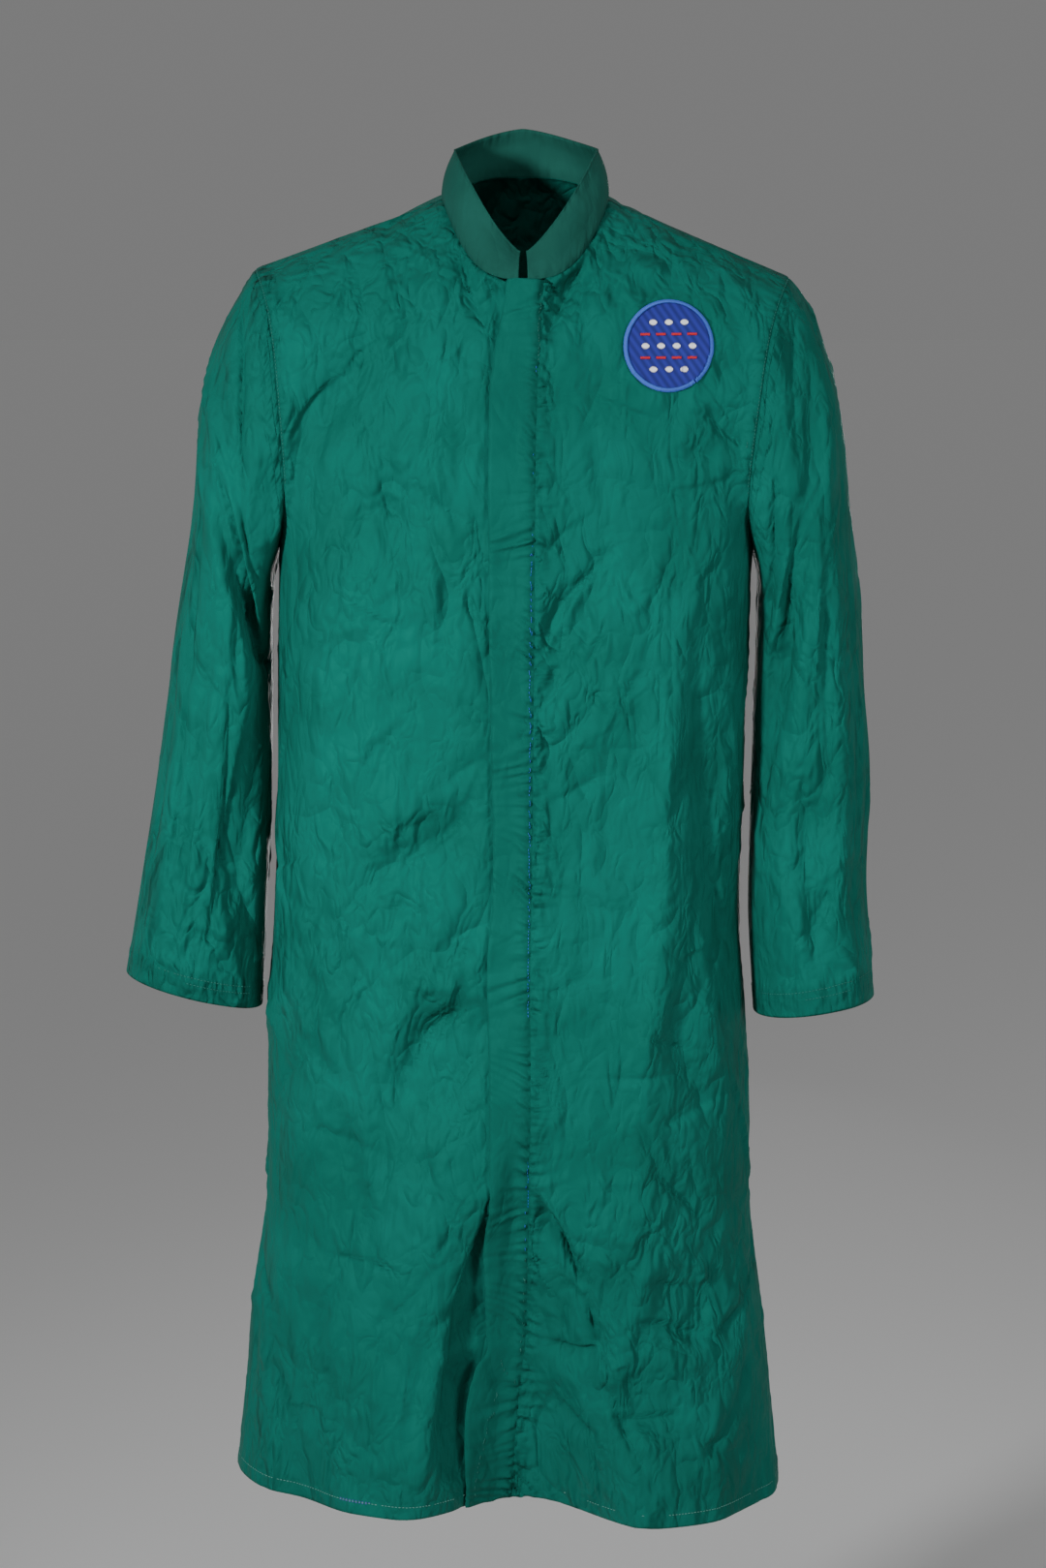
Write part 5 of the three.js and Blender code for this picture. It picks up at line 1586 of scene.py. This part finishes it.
def overlocked_edge(name, cloth_tree, patch_tree):
    """Satin stitches side by side across the patch's edge."""
    angle = np.linspace(0, 2 * math.pi, EDGE_STITCHES, endpoint=False)
    centres, _ = onto_cloth(cloth_tree, patch_point(PATCH_RADIUS - EDGE_INSET, angle), THREAD_LIFT)
    outwards = xyz(np.cos(angle), 0.0, np.sin(angle))
    return lay_threads(name, centres, outwards, patch_tree, forwards, PATCH_EDGE_THREAD, *EDGE_STITCH)


def motif_row(height, count):
    """Places of a row of motifs, in the picture's plane."""
    return xyz(PATCH_X + (np.arange(count) - (count - 1) / 2) * MOTIF_STEP, -100.0, PATCH_Z + height)


def satin(name, rows, reach, length_at, cloth_tree, patch_tree, material):
    """Blocks of upright satin stitches side by side. length_at gives a stitch's length at its own place."""
    steps = np.arange(-reach, reach + 0.01, SATIN_STEP)
    centres = np.concatenate([place + xyz(steps, 0.0, 0.0) for row in rows for place in motif_row(*row)])
    long = np.tile(length_at(steps), sum(count for _, count in rows))
    placed, _ = onto_cloth(cloth_tree, centres, THREAD_LIFT)
    upright = np.broadcast_to(np.array([0.0, 0.0, 1.0]), centres.shape)
    return lay_threads(name, placed, upright, patch_tree, forwards, material, long, *SATIN_STITCH)


def knot_length(step):
    """The chord of a round knot: 2 sqrt(r^2 - s^2)."""
    return 2 * np.sqrt(np.maximum(KNOT_RADIUS**2 - step**2, 1.0))


def bar_length(step):
    """The same height all along a bar."""
    return np.full(step.shape, BAR_TALL)


# All the pieces

front_right = front_cloth("cloth_front_right", RIGHT)
front_left = front_cloth("cloth_front_left", LEFT)
back = back_cloth("cloth_back")
sleeve_right = sleeve_cloth("cloth_sleeve_right", RIGHT, SLEEVE_RIGHT, SLEEVE_FOLDS_RIGHT,
                            SLEEVE_CREASES_RIGHT, 3)
sleeve_left = sleeve_cloth("cloth_sleeve_left", LEFT, SLEEVE_LEFT, SLEEVE_FOLDS_LEFT,
                           SLEEVE_CREASES_LEFT, 4)
collar = collar_cloth("cloth_collar")
placket = placket_cloth("cloth_placket")
placket_tree = surface_of(placket)
left_tree = surface_of(front_left)
right_tree = surface_of(front_right)
back_tree = surface_of(back)

patch = patch_disc("patch_twill_disc", left_tree)
patch_tree = surface_of(patch)
patch_edge = overlocked_edge("patch_overlocked_edge", left_tree, patch_tree)
patch_knots = satin("patch_white_knots", KNOT_ROWS, KNOT_RADIUS - 0.3, knot_length, left_tree, patch_tree,
                    PATCH_WHITE_THREAD)
patch_bars = satin("patch_red_bars", BAR_ROWS, BAR_LONG / 2, bar_length, left_tree, patch_tree,
                   PATCH_RED_THREAD)

foot, blue_from, blue_to, top = PLACKET_ROW_HEIGHTS
stitch_sets = [
    ("placket_blue", [placket_row(BLUE_ROW_IN, blue_from, blue_to)], placket_tree, forwards, THREAD_BLUE),
    ("placket_green", [placket_row(GREEN_ROW_IN, foot, blue_from), placket_row(GREEN_ROW_IN, blue_to, top)],
     placket_tree, forwards, THREAD_GREEN),
    ("armhole_front_right", armhole_rows(RIGHT, FRONT), right_tree, from_middle, THREAD_GREEN),
    ("armhole_front_left", armhole_rows(LEFT, FRONT), left_tree, from_middle, THREAD_GREEN),
    ("armhole_back", armhole_rows(RIGHT, BACK) + armhole_rows(LEFT, BACK), back_tree, from_middle,
     THREAD_GREEN),
    ("cuff_right", cuff_rows(RIGHT, SLEEVE_RIGHT), surface_of(sleeve_right), from_sleeve(RIGHT, SLEEVE_RIGHT),
     THREAD_GREEN),
    ("cuff_left", cuff_rows(LEFT, SLEEVE_LEFT), surface_of(sleeve_left), from_sleeve(LEFT, SLEEVE_LEFT),
     THREAD_GREEN),
    ("hem_front_right", [hem_row(RIGHT, FRONT)[HEM_POINTS_COVERED:]], right_tree, from_middle, THREAD_HEM),
    ("hem_front_left", [hem_row(LEFT, FRONT)], left_tree, from_middle, THREAD_HEM),
    ("hem_back", [hem_row(RIGHT, BACK), hem_row(LEFT, BACK)], back_tree, from_middle, THREAD_HEM),
    ("hem_repair", repair_rows(), right_tree, from_middle, THREAD_REPAIR),
    ("neck_tack", [neck_tack_row()], placket_tree, forwards, THREAD_BLUE),
]
sewn = {name: stitch_rows("stitches_" + name, *rest) for name, *rest in stitch_sets}

stands_for = {
    "front_right": front_right, "front_left": front_left, "back": back, "sleeve_right": sleeve_right,
    "sleeve_left": sleeve_left, "collar": collar, "placket": placket, "chest_patch": patch,
}
for node, thing in stands_for.items():
    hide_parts(node)


# The floor, the light and the camera

def studio():
    """A plain pale floor under soft lights, and a camera at the picture's angle."""
    bpy.ops.mesh.primitive_plane_add(size=FLOOR_SIZE, location=(0, 0, FLOOR_Z))
    floor = bpy.context.object
    floor.name = "floor"
    material, tree, shader = new_material("floor_paper_pale_grey")
    connect(tree, shader, {"Base Color": srgb("f2f2f2"), "Roughness": 0.9, "Specular IOR Level": 0.0})
    floor.data.materials.append(material)

    # The far floor and the sky just above it have the same grey, so that no horizon shows.
    world = bpy.data.worlds.new("studio")
    bpy.context.scene.world = world
    world.use_nodes = True
    tree = world.node_tree
    direction = add(tree, "TexCoord").outputs["Generated"]
    height = add(tree, "SeparateXYZ", {"Vector": direction}).outputs["Z"]
    share = add(tree, "MapRange", {"Value": height, "From Min": 0.04, "From Max": 0.3,
                                   "To Min": WORLD_HORIZON, "To Max": WORLD_ABOVE})
    connect(tree, tree.nodes["Background"], {"Strength": share.outputs[0], "Color": (1.0, 1.0, 1.0, 1.0)})

    for name, place, aim, size, power, spread_angle in LIGHTS:
        light = bpy.data.lights.new(name, "AREA")
        light.shape = "DISK"
        light.size = size
        light.energy = power
        light.spread = math.radians(spread_angle)
        lamp = bpy.data.objects.new(name, light)
        lamp.location = place
        lamp.rotation_euler = (Vector(aim) - Vector(place)).to_track_quat("-Z", "Y").to_euler()
        bpy.context.scene.collection.objects.link(lamp)

    camera = bpy.data.cameras.new("camera")
    camera.lens = CAMERA_LENS
    camera.sensor_fit = "AUTO"
    camera.sensor_width = CAMERA_SENSOR
    viewer = bpy.data.objects.new("camera", camera)
    viewer.location = CAMERA_AT
    viewer.rotation_euler = (math.radians(90 - CAMERA_DOWN), 0, 0)
    bpy.context.scene.collection.objects.link(viewer)
    bpy.context.scene.camera = viewer


studio()
